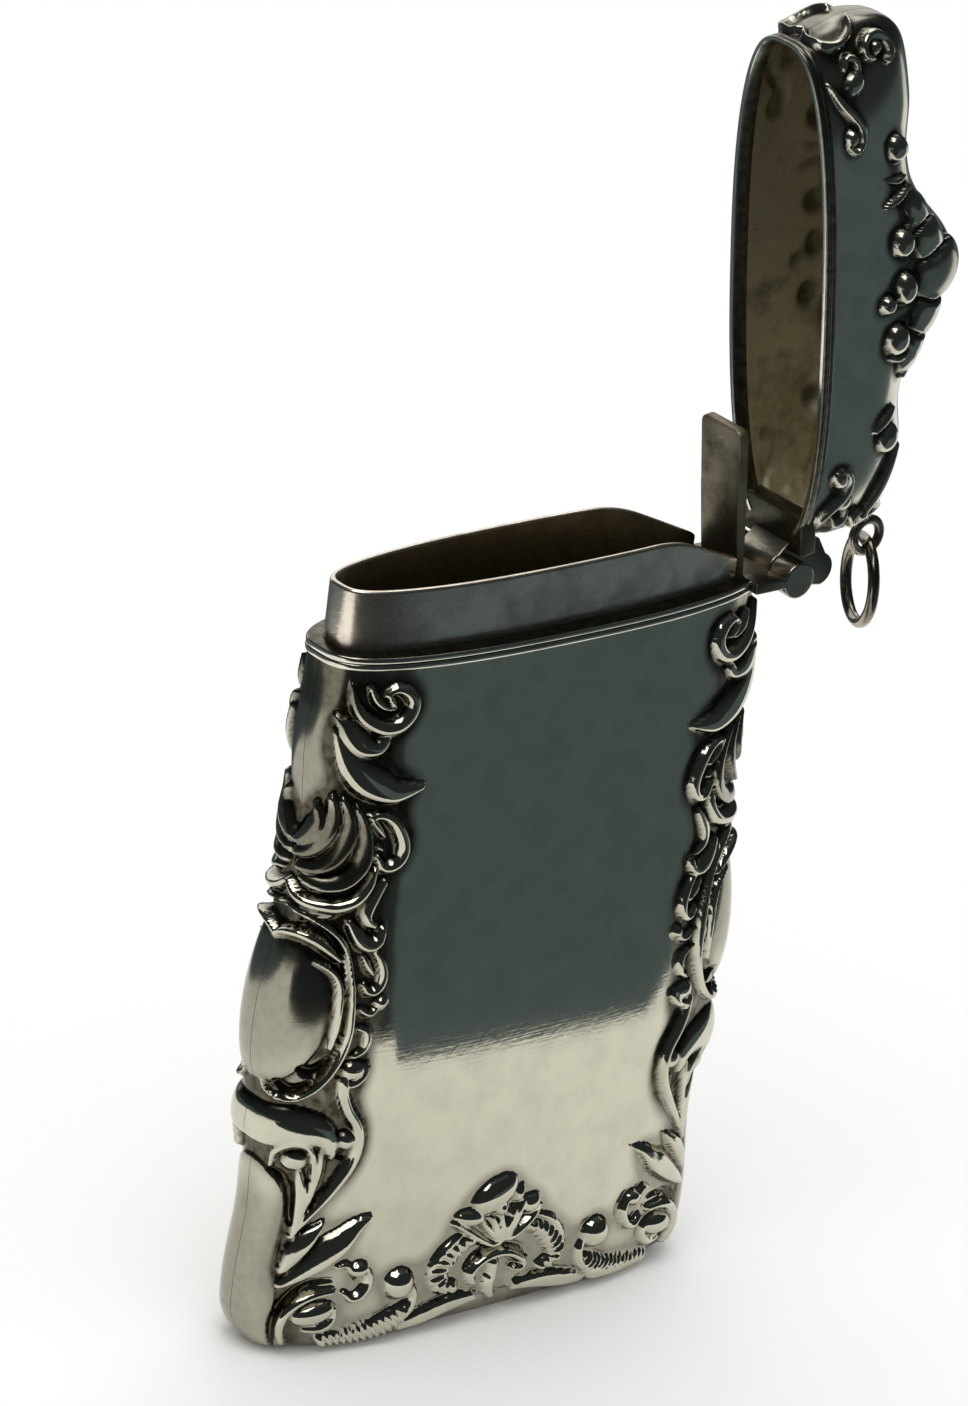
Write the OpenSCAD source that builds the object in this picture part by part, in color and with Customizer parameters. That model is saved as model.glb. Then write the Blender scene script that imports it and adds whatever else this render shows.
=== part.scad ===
// Match case of stamped silver: two seamed shells with a liner, a sprung lid and a hanging ring.
// It stands upright with its lid open. X runs along the width, with the hinge at +X. Y runs
// through the depth, with the front at -Y. Z runs up from the flat of the striker base.

/* [Case] */
// Width of the case at its rim
case_w = 39.3; // [37:0.1:44]
// Height of the case shells, from the base to the rim moulding
case_h = 54.7; // [51:0.1:60]
// Depth of the case at the middle of its faces
mid_depth = 10.2; // [9.8:0.1:12]
// Depth that the faces would have at the ends, before the ends round over
end_depth = 8.8; // [8.4:0.1:9.6]
// Roundness of the plan, where 2 is an ellipse and more is squarer
plan_power = 3.2; // [3:0.05:4]
// Thickness of the stamped silver
wall = 0.5; // [0.4:0.05:0.55]
// Radius of the bottom corners, seen from the front
corner_r = 3.5; // [2:0.1:5]
// Height of the rounding along the bottom edge
base_round = 2.6; // [1.5:0.1:4]
// How far the faces draw in at the bottom edge
base_inset = 1.3; // [1:0.1:2.2]
// Rise of the arch in the bottom edge
arch_h = 1.6; // [0.5:0.1:2.2]
// Half of the width of that arch
arch_reach = 9.5; // [6:0.1:12]
// Height over which the arch fades out
arch_fade = 7; // [5:0.1:12]
// Lift of the shells' lower edge over the flat of the base
shell_lift = 0.1; // [0.05:0.01:0.3]
// Soldered seam between the front and back shells
seam_gap = 0.04; // [0.02:0.01:0.1]

/* [Side outline] */
// Height of the oval cartouches on the sides
cartouche_z = 24.5; // [22:0.1:28]
// How far the sides swell out there
cartouche_swell = 1.5; // [0:0.1:2.8]
// Half of the height of that swelling
cartouche_reach = 16; // [10:0.1:17]
// Height of the shoulders under the rim
shoulder_z = 48.5; // [47:0.1:49]
// How far the sides stand out there
shoulder_out = 0.4; // [0:0.1:1.4]
// Half of the height of the shoulders
shoulder_reach = 6; // [4:0.1:6]
// Height of the flare over the bottom corners
foot_z = 5; // [4:0.1:6]
// How far the sides stand out there
foot_out = 0.7; // [0:0.1:1.5]
// Half of the height of that flare
foot_reach = 9; // [6:0.1:10]

/* [Rim] */
// Height of each rim moulding
moulding_h = 1.02; // [0.9:0.02:1.2]
// How far the beads of a moulding stand out from the shells
bead_out = 0.38; // [0.3:0.01:0.5]
// Step in from the shells to the liner
liner_step = 0.98; // [0.95:0.01:1.1]
// Thickness of the liner
liner_t = 0.5; // [0.3:0.05:0.6]
// Height of the liner above the rim
liner_up = 4.6; // [3:0.1:5]
// Depth of the liner below the rim
liner_down = 6; // [4:0.1:10]
// Length of the slope that clears the hinge at the liner's end
liner_slope = 9; // [7:0.1:12]
// Height that the liner keeps at the low end of that slope
liner_low = 0.8; // [0.4:0.1:1.5]
// Clearance of parts that are soldered or pushed together
seat = 0.05; // [0.02:0.01:0.08]

/* [Lid] */
// Height of the lid from its mouth to its shoulders
lid_h = 10.7; // [9.8:0.1:12]
// Angle at which the lid stands open
lid_open = 82; // [76:0.5:86]
// Gap between the two mouldings when the lid is shut
lid_gap = 0.12; // [0.05:0.01:0.2]
// Radius of the lid's upper corners, seen from the front
lid_corner_r = 3; // [2.4:0.1:4]
// How far the lid's ends swell out
lid_swell = 0.9; // [0:0.1:1.1]
// Roundness of the lid's top, where 2 is an ellipse
lid_power = 3; // [2.4:0.1:4]
// Height of the shell crest above the shoulders
crest_h = 4.3; // [2:0.1:6]
// Half of the width of the crest
crest_reach = 8; // [6:0.1:10]

/* [Hinge] */
// Distance of the hinge axis out from the end of the case
hinge_out = 2.1; // [1.95:0.05:2.4]
// Height of the hinge axis over the top of the shells
hinge_up = 0.5; // [0.4:0.05:0.6]
// Diameter of the hinge barrel
barrel_d = 2.8; // [2.4:0.1:2.8]
// Diameter of the hinge pin
pin_d = 1.3; // [1:0.05:1.5]
// Length of the whole barrel
hinge_len = 8.2; // [7.6:0.1:9]
// Length of the lid's knuckle
leaf_len = 4; // [3.8:0.1:4.1]
// Gap between neighbouring knuckles
knuckle_gap = 0.1; // [0.05:0.01:0.2]
// Radial play of the lid's knuckle on the pin
pin_play = 0.04; // [0.02:0.01:0.08]
// Metal left over the blind end of the front knuckle
blind_t = 0.5; // [0.3:0.1:0.8]
// Thickness of the tabs that carry the case's knuckles
tab_t = 0.85; // [0.6:0.05:0.9]
// Length of those tabs over the rim
tab_in = 2; // [1.5:0.1:2.4]
// Height of the rounded boss on the lid's hinge leaf over the hinge axis
boss_up = 3.7; // [3.4:0.1:4.6]
// Distance of that boss out from the hinge axis
boss_out = 1.1; // [0.7:0.1:1.3]
// Diameter of that boss
boss_d = 2.6; // [2:0.1:2.8]

/* [Lever and spring] */
// Length of the lever from the hinge axis
lever_len = 12.7; // [10:0.1:14]
// Distance from the hinge axis to the lever's far face
lever_drop = 4.4; // [3.8:0.1:4.8]
// Thickness of the lever's tongue
lever_t = 0.8; // [0.6:0.05:1]
// Thickness of the lever's arm
arm_t = 1; // [0.8:0.05:1.2]
// Width of the lever at its arm
lever_w = 4; // [3.4:0.1:4]
// Width of the lever's tongue
tongue_w = 4.5; // [4:0.1:4.6]
// Distance from the hinge axis at which the tongue widens
tongue_from = 7.2; // [7:0.1:9]
// Depth of the slot that holds the arm in the lid's knuckle
arm_tenon = 0.4; // [0.2:0.05:0.5]
// Clearance around the lever where it passes the end wall
lever_room = 0.4; // [0.3:0.05:0.6]
// Thickness of the leaf spring
spring_t = 0.4; // [0.3:0.05:0.5]
// Width of the leaf spring
spring_w = 3.2; // [2.4:0.1:3.4]
// Length of the leaf spring
spring_len = 21; // [16:0.5:24]
// Height of the block that holds the spring's foot
block_h = 6; // [5:0.1:8]
// Thickness of that block
block_t = 1.8; // [1.4:0.1:2.2]
// Diameter of the spring's rivets
rivet_d = 0.9; // [0.7:0.05:1.1]
// Diameter of the rivets' heads
rivet_head_d = 1.7; // [1.4:0.1:2]
// Thickness of the rivets' heads
rivet_head_t = 0.4; // [0.3:0.05:0.5]
// Distance between the rivets
rivet_pitch = 3; // [2.4:0.1:3.6]

/* [Ring] */
// Outside diameter of the suspension ring
ring_d = 7.3; // [7:0.1:9]
// Thickness of the ring's wire
ring_wire = 0.9; // [0.7:0.05:1]
// Turn of the hanging ring about the vertical
ring_turn = 23.5; // [0:0.5:28]
// Outside diameter of the loop that carries the ring
loop_d = 3.3; // [3.1:0.1:4]
// Thickness of the loop's wire
loop_wire = 0.75; // [0.6:0.05:0.8]
// Distance of the loop's centre out from the end of the lid
loop_out = 3.1; // [2.8:0.05:3.3]
// Drop of the loop's centre below the lid's shoulders
loop_drop = 1.4; // [1:0.05:1.8]
// Play of the ring in its loop
ring_play = 0.08; // [0.05:0.01:0.15]

/* [Striker] */
// Thickness of the striker plate
striker_t = 0.9; // [0.7:0.1:1.2]
// Thickness of the upturned edge around it
flange_t = 0.6; // [0.4:0.1:0.8]
// Height of that edge
flange_h = 3.2; // [2.8:0.1:4]
// Spacing of the striking grooves
groove_pitch = 1; // [0.8:0.1:1.4]
// Width of a striking groove
groove_w = 0.45; // [0.3:0.05:0.5]
// Depth of a striking groove
groove_deep = 0.25; // [0.15:0.05:0.4]
// Length of a striking groove
groove_len = 3.6; // [3:0.1:4]
// Length of the grooved field
groove_field = 24; // [16:1:26]

/* [Hidden] */
$fn = 48;

silver = [0.80, 0.79, 0.75];
dull_silver = [0.50, 0.47, 0.40];
steel = [0.42, 0.43, 0.45];

rim_z = case_h + moulding_h;
mouth_z = rim_z + lid_gap;
hinge_x = case_w / 2 + hinge_out;
hinge_z = case_h + hinge_up;
lid_top_z = mouth_z + lid_h;
notch_z = hinge_z - norm([lever_drop, arm_t / 2]) - lever_room;
notch_half = lever_w / 2 + lever_room;
eps = 0.01;

// Shapes shared by the shells: a smooth swelling, a signed power and the rounded plan

function bump(v, centre, reach) =
    abs(v - centre) < reach ? (1 + cos(180 * (v - centre) / reach)) / 2 : 0;
function spow(v, power) = sign(v) * pow(abs(v), power);
function half_depth(u, inset) =
    end_depth / 2 + (mid_depth - end_depth) / 2 * (1 - u * u) - inset;

// A point of the front half of the plan: -90 is the left seam, 0 the middle, 90 the right seam
function plan_pt(turn, half_w, shrink, inset) =
    let (u = spow(sin(turn), 2 / plan_power))
    [(half_w - inset) * u, -shrink * half_depth(u, inset) * pow(abs(cos(turn)), 2 / plan_power)];
function plan_normal(turn) =
    let (side = spow(sin(turn), 2 - 2 / plan_power) / (case_w / 2))
    let (face = pow(abs(cos(turn)), 2 - 2 / plan_power) / (mid_depth / 2))
    [side, -face] / norm([side, face]);

// Turn at a share of the way from the middle of the plan, 0, to one of its ends, -1 or 1
function share_turn(share) = 90 * spow(share, plan_power / 2);

// Run along the plan from the middle, which the seams are half_run away from, and the turn there
plan_steps = 60;
plan_turns = [for (i = [-plan_steps : plan_steps]) share_turn(i / plan_steps)];
plan_line = [for (turn = plan_turns) plan_pt(turn, case_w / 2, 1, 0)];
plan_run = [for (i = 0, run = 0; i < len(plan_turns);
    run = run + (i + 1 < len(plan_turns) ? norm(plan_line[i + 1] - plan_line[i]) : 0), i = i + 1) run];
half_run = plan_run[plan_steps];
run_turns = [for (i = [0 : 2 * plan_steps]) [plan_run[i] - half_run, plan_turns[i]]];
turn_runs = [for (pair = run_turns) [pair[1], pair[0]]];

// Rounded bosses, each as place along, height, reach along, reach up and height over the shell
function dome(a, b) =
    let (q = norm([a, b]))
    q < 1 ? (1 + cos(180 * q)) / 2 : 0;
function proud(bosses, along, up) =
    max([for (b = bosses) b[4] * dome((along - b[0]) / b[2], (up - b[1]) / b[3])]);

// Raised scrolls, each as its width to the left and right of its crest, its height over the shell
// and the points of its crest, place along and height, to which boxed adds the box around it
function boxed(scrolls) = [for (s = scrolls)
    let (reach = max(s[0], s[1]), along = [for (p = s[3]) p[0]], up = [for (p = s[3]) p[1]])
    concat(s, [[min(along) - reach, max(along) + reach, min(up) - reach, max(up) + reach]])];
crest_power = 0.6;
function crest(p, a, b, left, right) =
    let (d = b - a, t = min(1, max(0, (p - a) * d / (d * d))), off = p - a - t * d)
    let (q = norm(off) / (cross(d, off) > 0 ? left : right))
    q < 1 ? pow(1 - q * q, crest_power) : 0;
function risen(scrolls, along, up) = max([0, for (s = scrolls)
    if (along > s[4][0] && along < s[4][1] && up > s[4][2] && up < s[4][3])
        s[2] * max([for (k = [0 : len(s[3]) - 2])
            crest([along, up], s[3][k], s[3][k + 1], s[0], s[1])])]);

// Ornament of a case shell, with along measured from the seam
case_scrolls = boxed([
    // volute under the rim, the leaf below it and the long blade
    [0.7, 0.75, 0.85, [[2.9, 53.8], [3.9, 51.5], [5.9, 50.4], [7.5, 51.2], [7.3, 52.9], [5.6, 52.9]]],
    [1.4, 0.7, 0.85, [[2.2, 51.3], [3.6, 49.6], [4.9, 48.7], [6.1, 49.2]]],
    [2.0, 0.9, 0.95, [[2.4, 50.2], [3.7, 47.3], [5.6, 45.4], [7.9, 45.1], [9.4, 45.4]]],
    // ribs and rim of the shell fan, and the open loop beside it
    [0.6, 0.6, 0.8, [[3.0, 44.8], [1.5, 40.9], [0.3, 39.6]]],
    [0.6, 0.6, 0.8, [[3.5, 45.0], [2.9, 41.2], [1.8, 39.9]]],
    [0.6, 0.6, 0.8, [[4.0, 44.7], [4.1, 41.2], [3.6, 39.6]]],
    [0.6, 0.6, 0.8, [[4.6, 44.1], [5.3, 41.0], [5.5, 39.8]]],
    [0.6, 0.8, 1.0, [[-0.6, 38.4], [1.8, 37.0], [4.0, 37.0], [5.6, 38.4], [5.8, 39.4]]],
    [0.55, 0.7, 0.8, [[5.4, 43.5], [7.3, 42.9], [8.3, 40.7], [7.4, 39.3], [6.2, 40.2]]],
    // curls beside the oval
    [0.5, 0.9, 0.6, [[7.2, 38.1], [6.4, 36.1], [7.0, 34.8]]],
    [0.9, 0.5, 0.8, [[4.9, 35.1], [6.3, 33.3], [7.6, 33.5], [7.8, 34.3]]],
    [0.5, 0.55, 0.7, [[7.2, 33.0], [8.4, 31.0], [8.0, 29.5], [7.0, 30.2]]],
    [0.5, 0.5, 0.55, [[7.1, 26.8], [8.1, 25.7], [7.2, 24.4]]],
    // frame of the oval
    [0.5, 0.6, 0.85, [[-0.7, 36.0], [2.6, 35.3], [5.0, 33.2], [6.1, 30.0], [6.5, 26.4], [5.5, 23.3],
        [3.2, 21.4], [1.1, 22.0], [0.4, 23.3]]],
    // band round the waist and the long scroll under it
    [2.4, 0.6, 0.9, [[-1.6, 18.2], [3.2, 18.2], [4.7, 18.1], [5.6, 17.2]]],
    [0.55, 0.65, 0.75, [[6.7, 22.5], [7.2, 20.1], [8.1, 17.9], [7.4, 15.5], [5.7, 13.1], [3.4, 9.9]]],
    // small arch, its tongue and the smooth wing at the side
    [0.5, 0.5, 0.8, [[1.8, 15.7], [2.7, 17.6], [4.2, 17.5], [4.6, 14.8]]],
    [0.6, 0.6, 0.65, [[3.6, 15.3], [3.7, 11.5], [3.5, 9.9]]],
    [2.9, 2.9, 0.55, [[0, 13.0], [0, 9.0], [0.4, 1.0]]],
    // two leaf blades, the corner scroll, its curl and the edge along the bottom
    [0.5, 1.25, 0.9, [[5.6, 10.8], [3.4, 7.3]]],
    [0.5, 1.8, 1.0, [[9.5, 11.0], [7.6, 8.9], [5.2, 7.1], [3.4, 6.0]]],
    [0.5, 0.55, 0.75, [[7.3, 5.2], [4.9, 4.7], [3.5, 2.8], [3.2, 1.4]]],
    [0.5, 0.55, 0.7, [[9.7, 6.9], [10.1, 5.5], [9.5, 4.5], [8.2, 4.9]]],
    [0.8, 0.8, 0.4, [[6.2, 0.9], [10.3, 1.0], [13.4, 2.4]]],
]);
// Dome of the oval, the bosses beside it and under the arch, the corner boss and the ball
case_bosses = [
    [0, 28.3, 7.0, 8.0, 0.8],
    [7.3, 23.3, 1.3, 1.1, 0.7],
    [7.1, 17.6, 1.1, 1.1, 0.7],
    [3.3, 16.3, 1.5, 1.4, 0.6],
    [5.9, 3.5, 2.4, 1.3, 0.9],
    [12.8, 4.8, 1.7, 1.7, 1.0],
];
// Palmette over the middle of the bottom edge, with along measured from the middle: the two sides
// of its cup, the arch and the stem below, the ears, the lip and the petals
palmette_scrolls = boxed([
    [0.5, 0.5, 0.75, [[-4.7, 8.8], [-2.2, 7.0], [-0.3, 6.3]]],
    [0.5, 0.5, 0.75, [[3.2, 8.8], [1.3, 7.0], [0.3, 6.4]]],
    [0.55, 0.55, 0.75, [[-2.5, 3.2], [-2.6, 4.4], [-1.5, 5.3], [0.6, 5.2], [2.1, 4.0], [1.5, 3.4]]],
    [0.55, 0.55, 0.65, [[-0.6, 4.6], [-0.9, 2.2], [0.3, 0.2]]],
    [0.95, 0.95, 0.6, [[-3.2, 7.1], [-5.3, 5.6], [-5.5, 4.4], [-4.2, 3.3]]],
    [0.9, 0.9, 0.6, [[2.8, 7.0], [4.7, 5.3], [5.1, 4.1], [4.0, 3.2]]],
    [0.95, 0.95, 0.5, [[-8.9, 1.0], [-4.5, 1.4], [-2.0, 1.1]]],
    [0.95, 0.95, 0.5, [[8.9, 1.0], [4.5, 1.4], [2.0, 1.1]]],
    [0.5, 0.5, 0.6, [[-0.5, 6.5], [-2.2, 8.5]]],
    [0.5, 0.5, 0.6, [[-0.2, 6.5], [-0.7, 8.7]]],
    [0.5, 0.5, 0.6, [[0.2, 6.5], [1.0, 9.0]]],
]);
palmette_bosses = [
    [-1.2, 10.4, 2.8, 1.8, 0.9],
    [-3.3, 9.0, 1.9, 1.0, 0.7],
    [2.3, 9.0, 1.3, 1.1, 0.7],
];
// The ornament fades out under the rim moulding and at the bottom edge
rim_fade = 1.5;
foot_fade = 0.8;
function edge_share(z) = min(1, max(0, (case_h - z) / rim_fade), max(0, (z - shell_lift) / foot_fade));
function case_relief(run, z) =
    let (along = half_run - abs(run))
    edge_share(z) * max(risen(case_scrolls, along, z), proud(case_bosses, along, z),
        risen(palmette_scrolls, run, z), proud(palmette_bosses, run, z));

function half_w_at(z) = case_w / 2
    + cartouche_swell * bump(z, cartouche_z, cartouche_reach)
    + shoulder_out * bump(z, shoulder_z, shoulder_reach)
    + foot_out * bump(z, foot_z, foot_reach)
    - (z < corner_r ? corner_r - sqrt(corner_r * corner_r - pow(corner_r - z, 2)) : 0);
function shrink_at(z) =
    1 - base_inset / (mid_depth / 2) * (1 - sqrt(1 - pow(max(0, 1 - z / base_round), 2)));
function arch_lift(x, z) = arch_h * bump(x, 0, arch_reach) * pow(max(0, 1 - z / arch_fade), 2);

// The end wall stops short of the lever above the notch, and the columns beside it draw back
draw_reach = 3;
function right_turn(z, inset) =
    z > notch_z + eps
        ? acos(pow(notch_half / (end_depth / 2 - inset), plan_power / 2))
        : 90;
function drawn_run(run, right_end) =
    let (from = lookup(right_end, turn_runs) - draw_reach)
    run > from ? from + (run - from) * draw_reach / (half_run - from) : run;
function case_pt(run, z, inset, raised) =
    let (right_end = right_turn(z, inset), drawn = drawn_run(run, right_end))
    let (turn = run <= eps - half_run ? -90
        : run >= half_run - eps ? right_end
        : lookup(drawn, run_turns))
    let (relief = raised ? case_relief(drawn, z) : 0)
    let (p = plan_pt(turn, half_w_at(z), shrink_at(z), inset) + relief * plan_normal(turn))
    [p[0], p[1] - seam_gap / 2, z + arch_lift(p[0], z)];

// Columns as runs from the middle: close in the borders, and over the panel only as many as it needs
// above the palmette. The lining has the upper columns and only some of the rows.
border_run = 10.6;
border_cols = 18;
foot_cols = 12;
panel_skip = 4;
panel_run = half_run - border_run;
half_runs = concat([for (i = [0 : foot_cols - 1]) panel_run * i / foot_cols],
    [for (i = [0 : border_cols]) panel_run + border_run * i / border_cols]);
mid_col = len(half_runs) - 1;
low_runs = concat([for (i = [mid_col : -1 : 1]) -half_runs[i]], half_runs);
high_cols = [for (i = [0 : 2 * mid_col])
    if (abs(i - mid_col) > foot_cols || (i - mid_col) % panel_skip == 0) i];
high_runs = [for (i = high_cols) low_runs[i]];

round_rows = 6;
foot_rows = 15;
side_rows = 40;
neck_rows = 4;
foot_skip = 5;
neck_skip = 2;
palmette_top = 13;
notch_step = 0.1;
side_z = base_round + shell_lift;
low_z = concat(
    [for (i = [0 : round_rows - 1]) shell_lift + base_round * (1 - cos(90 * i / round_rows))],
    [for (i = [0 : foot_rows - 1]) side_z + (palmette_top - side_z) * i / foot_rows]);
high_z = concat(
    [for (i = [0 : side_rows]) palmette_top + (notch_z - palmette_top) * i / side_rows],
    [for (i = [0 : neck_rows]) notch_z + notch_step
        + (case_h - notch_z - notch_step) * i / neck_rows]);
row_z = concat(low_z, high_z);
lining_rows = concat([for (i = [0 : round_rows - 1]) i],
    [for (i = [0 : foot_skip : foot_rows - 1]) round_rows + i],
    [for (i = [0 : foot_skip : side_rows]) len(low_z) + i],
    [for (i = [0 : neck_skip : neck_rows]) len(low_z) + side_rows + 1 + i]);

function case_outer() = concat(
    [for (z = low_z) [for (run = low_runs) case_pt(run, z, 0, true)]],
    [for (z = high_z) [for (run = high_runs) case_pt(run, z, 0, true)]]);
function case_inner() =
    [for (r = lining_rows) [for (run = high_runs) case_pt(run, row_z[r], wall, false)]];

// Triangles between two rows of point numbers, where the coarse row has only some of the fine one's
// places. The diagonals mirror about the middle, so that no corner of a sheet folds flat.
function triangle(a, b, c, flip) = flip ? [b, a, c] : [a, b, c];
function zip(fine, coarse, places, flip) =
    let (at = len(fine) == len(coarse) ? [for (j = [0 : len(fine) - 1]) j] : places)
    [for (j = [0 : len(coarse) - 2])
        let (half = (at[j] + at[j + 1]) / 2, mid = j < (len(coarse) - 1) / 2 ? ceil(half) : floor(half))
        each concat(
            [for (t = [at[j] : 1 : mid - 1]) triangle(fine[t], fine[t + 1], coarse[j], flip)],
            [triangle(fine[mid], coarse[j + 1], coarse[j], flip)],
            [for (t = [mid : 1 : at[j + 1] - 1]) triangle(fine[t], fine[t + 1], coarse[j + 1], flip)])];

// A sheet between two grids of points, rows upwards and columns from left to right, seen from -Y.
// A coarser grid has only the columns and rows that are listed.
module half_shell(outer, inner, columns = [], rows = []) {
    starts = [for (r = 0, n = 0; r < len(outer); n = n + len(outer[r]), r = r + 1) n];
    skin = [for (r = [0 : len(outer) - 1]) [for (c = [0 : len(outer[r]) - 1]) starts[r] + c]];
    top = len(skin) - 1;
    count = starts[top] + len(outer[top]);
    wide = len(inner[0]);
    lining = [for (r = [0 : len(inner) - 1]) [for (c = [0 : wide - 1]) count + r * wide + c]];
    function first(grid) = [for (row = grid) row[0]];
    function last(grid) = [for (row = grid) row[len(row) - 1]];
    polyhedron([for (row = outer) each row, for (row = inner) each row], concat(
        [for (r = [0 : top - 1]) each zip(skin[r], skin[r + 1], columns, true)],
        [for (r = [0 : len(lining) - 2]) each zip(lining[r], lining[r + 1], columns, false)],
        zip(skin[0], lining[0], columns, false),
        zip(skin[top], lining[len(lining) - 1], columns, true),
        zip(first(skin), first(lining), rows, true),
        zip(last(skin), last(lining), rows, false)));
}

// The whole plan as a closed curve, with 0 at the hinge end and out as its offset from the shells,
// of which the ends of the plan take only a share where it stands out
function loop_pt(turn, out) =
    let (u = spow(cos(turn), 2 / plan_power))
    [(case_w / 2 + out * (out > 0 ? end_share : 1)) * u,
     half_depth(u, -out) * spow(sin(turn), 2 / plan_power)];
end_share = 0.3;
plan_step = 7.5;
module plan_slab(out, low, high) {
    translate([0, 0, low])
        linear_extrude(high - low)
            polygon([for (turn = [0 : plan_step : 360 - plan_step]) loop_pt(turn, out)]);
}

// A moulding of two beads along the rim, open at the hinge end by gap_turn on each side
bead_r = moulding_h / 4;
bead_turns = [-90, -45, 0, 45, 90];
bead_line = [for (k = [0, 1], a = bead_turns) if (!(k == 1 && a == -90))
    [bead_out - bead_r + bead_r * cos(a), bead_r * (1 + 2 * k) + bead_r * sin(a)]];
moulding_stations = 64;
module moulding(low, gap_turn, inset) {
    profile = concat([[-inset, 0]], bead_line, [[-inset, moulding_h]]);
    n = len(profile);
    turns = [for (i = [0 : moulding_stations])
        gap_turn + (360 - 2 * gap_turn) * i / moulding_stations];
    points = [for (turn = turns, p = profile)
        let (xy = loop_pt(turn, p[0])) [xy[0], xy[1], low + p[1]]];
    sides = [for (i = [0 : moulding_stations - 1], k = [0 : n - 1])
        let (a = i * n + k, b = i * n + (k + 1) % n)
        each [[a, b + n, a + n], [a, b, b + n]]];
    first = [for (k = [n - 1 : -1 : 0]) k];
    last = [for (k = [0 : n - 1]) moulding_stations * n + k];
    polyhedron(points, concat(sides, [first, last]));
}
// Turn along the plan at which a moulding stops beside a tab or the lid's hinge leaf
tab_from = case_w / 2 - tab_in;
case_gap_turn = acos(pow((tab_from - seat) / (case_w / 2 + end_share * bead_out), plan_power / 2));
leaf_gap = leaf_len / 2 + 2 * seat;
lid_gap_turn = asin(pow(leaf_gap / (end_depth / 2 - wall), plan_power / 2));

module body_front_shell() {
    color(silver) half_shell(case_outer(), case_inner(), high_cols, lining_rows);
}

module body_back_shell() {
    color(silver) mirror([0, 1, 0]) half_shell(case_outer(), case_inner(), high_cols, lining_rows);
}

// Plan of the slot that the shells leave at the bottom edge
function slot_pt(turn, inset) =
    let (u = spow(cos(turn), 2 / plan_power))
    [(half_w_at(shell_lift) - wall - inset) * u,
        (shrink_at(shell_lift) * half_depth(u, wall) - inset) * spow(sin(turn), 2 / plan_power)];
module slot_slab(inset, low, high) {
    translate([0, 0, low])
        linear_extrude(high - low)
            polygon([for (turn = [0 : plan_step : 360 - plan_step]) slot_pt(turn, inset)]);
}
groove_half_count = floor(groove_field / groove_pitch / 2);

module base_striker() {
    color(dull_silver) difference() {
        slot_slab(seat, 0, flange_h);
        slot_slab(seat + flange_t, striker_t, flange_h + 1);
        for (i = [-groove_half_count : groove_half_count - 1])
            translate([(i + 0.5) * groove_pitch - groove_w / 2, -groove_len / 2, -1])
                cube([groove_w, groove_len, 1 + groove_deep]);
    }
}

module body_liner() {
    slope_x = case_w / 2 - liner_step;
    color(dull_silver) difference() {
        plan_slab(-liner_step, rim_z - liner_down, rim_z + liner_up);
        plan_slab(-liner_step - liner_t, rim_z - liner_down - 1, rim_z + liner_up + 1);
        translate([0, mid_depth, 0])
            rotate([90, 0, 0])
                linear_extrude(2 * mid_depth)
                    polygon([[slope_x - liner_slope, rim_z + liner_up], [slope_x, rim_z + liner_low],
                        [case_w, rim_z + liner_low], [case_w, rim_z + 2 * liner_up],
                        [slope_x - liner_slope, rim_z + 2 * liner_up]]);
        translate([slope_x - liner_slope / 2, -notch_half, rim_z - liner_down - 1])
            cube([case_w, 2 * notch_half, liner_down + liner_up + 2]);
    }
}

module body_rim_moulding() {
    color(silver) moulding(case_h, case_gap_turn, liner_step - seat);
}

// A barrel piece along Y from one end to the other, seated in the hinge axis
module barrel(diameter, from_y, to_y) {
    translate([hinge_x, to_y, hinge_z])
        rotate([90, 0, 0])
            cylinder(d = diameter, h = to_y - from_y);
}
module case_knuckle(from_y, to_y) {
    barrel(barrel_d, from_y, to_y);
    translate([tab_from, from_y, case_h + seat])
        cube([hinge_x - tab_from, to_y - from_y, tab_t]);
}
knuckle_from = leaf_len / 2 + knuckle_gap;
pin_from = -hinge_len / 2 + blind_t;

module hinge_knuckle_front() {
    color(silver) difference() {
        case_knuckle(-hinge_len / 2, -knuckle_from);
        barrel(pin_d, pin_from, 0);
    }
}

module hinge_knuckle_back() {
    color(silver) difference() {
        case_knuckle(knuckle_from, hinge_len / 2);
        barrel(pin_d, 0, hinge_len);
    }
}

module hinge_pin() {
    color(steel) barrel(pin_d, pin_from + seat, hinge_len / 2);
}

// The spring stands inside the hinge end, its tip just under the sweep of the lever
spring_top = notch_z - seat;
block_low = spring_top - spring_len;
block_side = 0.2;
block_half = spring_w / 2 + block_side;
function wall_in_x(y, z) =
    (half_w_at(z) - wall) * pow(1 - pow(y / half_depth(1, wall), plan_power), 1 / plan_power);
block_out = min(wall_in_x(block_half, block_low), wall_in_x(block_half, block_low + block_h)) - seat;
spring_x = block_out - block_t;
rivet_z = [for (side = [-1, 1]) block_low + block_h / 2 + side * rivet_pitch / 2];

module spring_block() {
    color(dull_silver) difference() {
        translate([spring_x, -block_half, block_low])
            cube([block_t, 2 * block_half, block_h]);
        for (z = rivet_z)
            translate([spring_x - 1, 0, z])
                rotate([0, 90, 0])
                    cylinder(d = rivet_d, h = block_t + 2);
    }
}

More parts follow.
